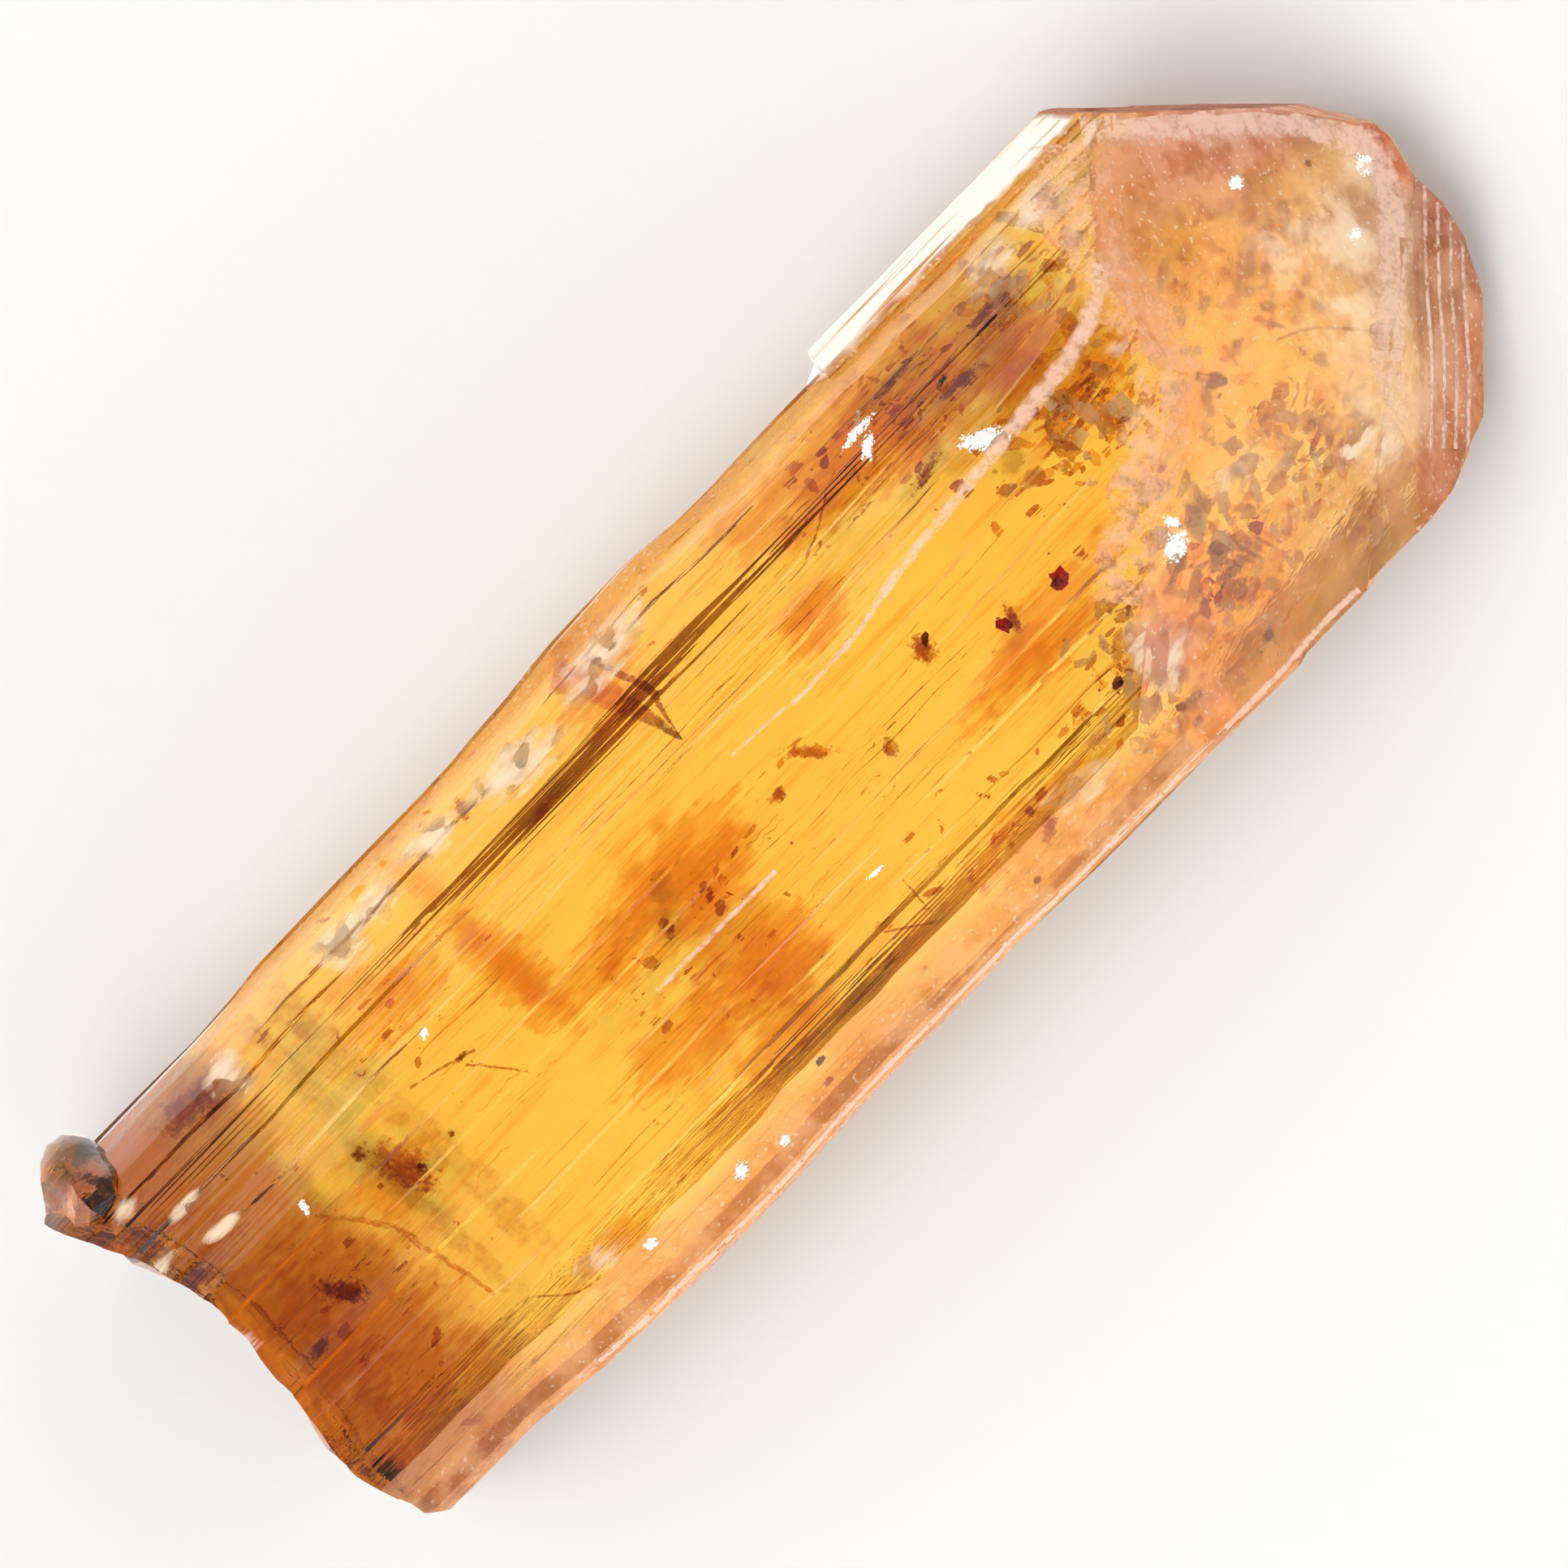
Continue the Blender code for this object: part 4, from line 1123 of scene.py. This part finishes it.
# Where a dark flag keeps its light off the upper facets
FLAG_DIRECTION = (0.0, 0.97, 0.24)
# Half the floor's width in metres, how far it lies under the stone and the picture's middle, in millimetres
FLOOR_REACH = 1.5
FLOOR_DROP = 0.02
PICTURE_MIDDLE = (-0.72, 0.02, 4.5)
BOUNCES = {"max_bounces": 10, "transmission_bounces": 10, "glossy_bounces": 4, "diffuse_bounces": 2,
           "transparent_max_bounces": 8}


def studio_world(strength):
    """A soft studio surround: bright all round near the floor, dimmer above, with two lights and a flag."""
    world = bpy.data.worlds.new("soft surround")
    bpy.context.scene.world = world
    world.use_nodes = True
    world.cycles.sampling_method = 'NONE'
    nodes = Nodes(world.node_tree)
    toward = nodes.add("ShaderNodeTexCoord").outputs["Generated"]
    sideways = nodes.vector('DOT_PRODUCT', toward, KEY_DIRECTION)
    upward = nodes.vector('DOT_PRODUCT', toward, (0.0, 0.0, 1.0))
    ring = nodes.ramp(upward, 0.3, 0.68, 1.3, 0.3)
    hood = nodes.ramp(upward, 0.84, 0.97, 1.0, 0.4)
    fill = nodes.ramp(nodes.vector('DOT_PRODUCT', toward, FILL_DIRECTION), 0.9, 0.97, 0.0, 0.5)
    softbox = nodes.plus(nodes.ramp(sideways, 0.93, 0.97, 0.0, 5.0), fill)
    behind = nodes.vector('DOT_PRODUCT', toward, FLAG_DIRECTION)
    flag = nodes.ramp(behind, 0.76, 0.93, 1.0, 0.45)
    background = world.node_tree.nodes["Background"]
    background.inputs["Color"].default_value = (1.0, 1.0, 1.0, 1.0)
    surround = nodes.times(nodes.times(ring, hood), flag)
    level = nodes.plus(surround, softbox)
    nodes.put(background.inputs["Strength"], nodes.times(level, strength))


def build_stage():
    """Plain pale floor, soft light and a camera that looks down on the crystal."""
    _, _, stage = settings()
    bm = bmesh.new()
    bmesh.ops.create_grid(bm, x_segments=8, y_segments=8, size=FLOOR_REACH)
    bmesh.ops.translate(bm, vec=(0.0, 0.0, -FLOOR_DROP * MM), verts=bm.verts)
    material, nodes, shader, place = new_material("pale floor")
    shade = nodes.noise(place, 0.02, 2.0)
    colour = tuple(stage.floor_colour)
    nodes.put(shader.inputs["Base Color"], nodes.mix(nodes.ramp(shade, 0.3, 0.7, 0.0, 0.04), colour,
                                                     tuple(value * 0.9 for value in colour)))
    shader.inputs["Roughness"].default_value = 0.9
    shader.inputs["Emission Color"].default_value = (1.0, 1.0, 1.0, 1.0)
    seen = nodes.add("ShaderNodeLightPath").outputs["Is Camera Ray"]
    nodes.put(shader.inputs["Emission Strength"], nodes.ramp(seen, 0.0, 1.0, stage.floor_glow, 0.0))
    material.cycles.emission_sampling = 'NONE'
    floor = new_object("floor", bm, material)

    studio_world(stage.world_light)

    data = bpy.data.cameras.new("camera")
    camera = bpy.data.objects.new("camera", data)
    bpy.context.collection.objects.link(camera)
    turn = math.radians(stage.axis_turn)
    camera.location = mm(*PICTURE_MIDDLE) + Vector((0.0, 0.0, stage.camera_distance))
    camera.rotation_euler = (0.0, 0.0, -turn)
    data.lens = data.sensor_width * stage.camera_distance / stage.frame_width
    data.clip_start = 0.01
    data.clip_end = 10.0
    scene = bpy.context.scene
    scene.camera = camera
    scene.view_settings.view_transform = 'Standard'
    for name, count in BOUNCES.items():
        setattr(scene.cycles, name, count)


class TOPAZ_OT_stone(bpy.types.Operator):
    """Build the clear stone"""
    bl_idname = "topaz.stone"
    bl_label = "Clear stone"

    def execute(self, context):
        build_stone()
        return {'FINISHED'}


class TOPAZ_OT_film(bpy.types.Operator):
    """Build the film on the etched faces and the white strip"""
    bl_idname = "topaz.film"
    bl_label = "Milky film"

    def execute(self, context):
        build_film()
        return {'FINISHED'}


class TOPAZ_OT_streaks(bpy.types.Operator):
    """Build the orange sheets: stains and painted shade"""
    bl_idname = "topaz.streaks"
    bl_label = "Orange stains and painted shade"

    def execute(self, context):
        build_streaks()
        return {'FINISHED'}


class TOPAZ_OT_flakes(bpy.types.Operator):
    """Build the rust-coloured flakes and specks"""
    bl_idname = "topaz.flakes"
    bl_label = "Flakes"

    def execute(self, context):
        build_flakes()
        return {'FINISHED'}


class TOPAZ_OT_grains(bpy.types.Operator):
    """Build the dark and red grains"""
    bl_idname = "topaz.grains"
    bl_label = "Grains"

    def execute(self, context):
        build_grains()
        return {'FINISHED'}


class TOPAZ_OT_glints(bpy.types.Operator):
    """Build the painted glints"""
    bl_idname = "topaz.glints"
    bl_label = "Glints"

    def execute(self, context):
        build_painted_glints()
        return {'FINISHED'}


class TOPAZ_OT_cracks(bpy.types.Operator):
    """Build the cracks and the painted shade beside the crease"""
    bl_idname = "topaz.cracks"
    bl_label = "Cracks"

    def execute(self, context):
        build_cracks()
        return {'FINISHED'}


class TOPAZ_OT_lines(bpy.types.Operator):
    """Build the lengthwise lines"""
    bl_idname = "topaz.lines"
    bl_label = "Growth lines"

    def execute(self, context):
        build_lines()
        return {'FINISHED'}


class TOPAZ_OT_crests(bpy.types.Operator):
    """Build the frosted crests and the painted highlights"""
    bl_idname = "topaz.crests"
    bl_label = "Crests"

    def execute(self, context):
        build_ridges()
        return {'FINISHED'}


class TOPAZ_OT_veils(bpy.types.Operator):
    """Build the veils and the painted reflections"""
    bl_idname = "topaz.veils"
    bl_label = "Veils"

    def execute(self, context):
        build_veils()
        return {'FINISHED'}


class TOPAZ_OT_crackle(bpy.types.Operator):
    """Build the clusters of cracked plates and their painted highlights"""
    bl_idname = "topaz.crackle"
    bl_label = "Cracked plates"

    def execute(self, context):
        build_crackle()
        return {'FINISHED'}


class TOPAZ_OT_stage(bpy.types.Operator):
    """Set the floor, the lights and the camera"""
    bl_idname = "topaz.stage"
    bl_label = "Stage"

    def execute(self, context):
        build_stage()
        return {'FINISHED'}


class TOPAZ_PT_panel(bpy.types.Panel):
    """Topaz crystal tools"""
    bl_idname = "TOPAZ_PT_panel"
    bl_label = "Topaz crystal"
    bl_space_type = 'VIEW_3D'
    bl_region_type = 'UI'
    bl_category = "Topaz"

    def draw(self, context):
        layout = self.layout
        for operator in OPERATORS:
            layout.operator(operator.bl_idname)
        for group in settings():
            for name in group.__annotations__:
                layout.prop(group, name)


SETTINGS = {
    "topaz_stone": StoneSettings,
    "topaz_inclusions": InclusionSettings,
    "topaz_stage": StageSettings,
}
OPERATORS = (TOPAZ_OT_stone, TOPAZ_OT_film, TOPAZ_OT_streaks, TOPAZ_OT_flakes, TOPAZ_OT_grains,
             TOPAZ_OT_glints, TOPAZ_OT_cracks, TOPAZ_OT_lines, TOPAZ_OT_crests, TOPAZ_OT_veils,
             TOPAZ_OT_crackle, TOPAZ_OT_stage)


def register():
    """Register the classes and attach the settings to the scene."""
    for item in (*SETTINGS.values(), *OPERATORS, TOPAZ_PT_panel):
        bpy.utils.register_class(item)
    for name, item in SETTINGS.items():
        setattr(bpy.types.Scene, name, PointerProperty(type=item))


def unregister():
    """Take the settings and the classes away again."""
    for name in SETTINGS:
        delattr(bpy.types.Scene, name)
    for item in (TOPAZ_PT_panel, *OPERATORS, *SETTINGS.values()):
        bpy.utils.unregister_class(item)


def main():
    """Build everything."""
    register()
    for operator in OPERATORS:
        group, name = operator.bl_idname.split(".")
        getattr(getattr(bpy.ops, group), name)()


if __name__ == "__main__":
    main()
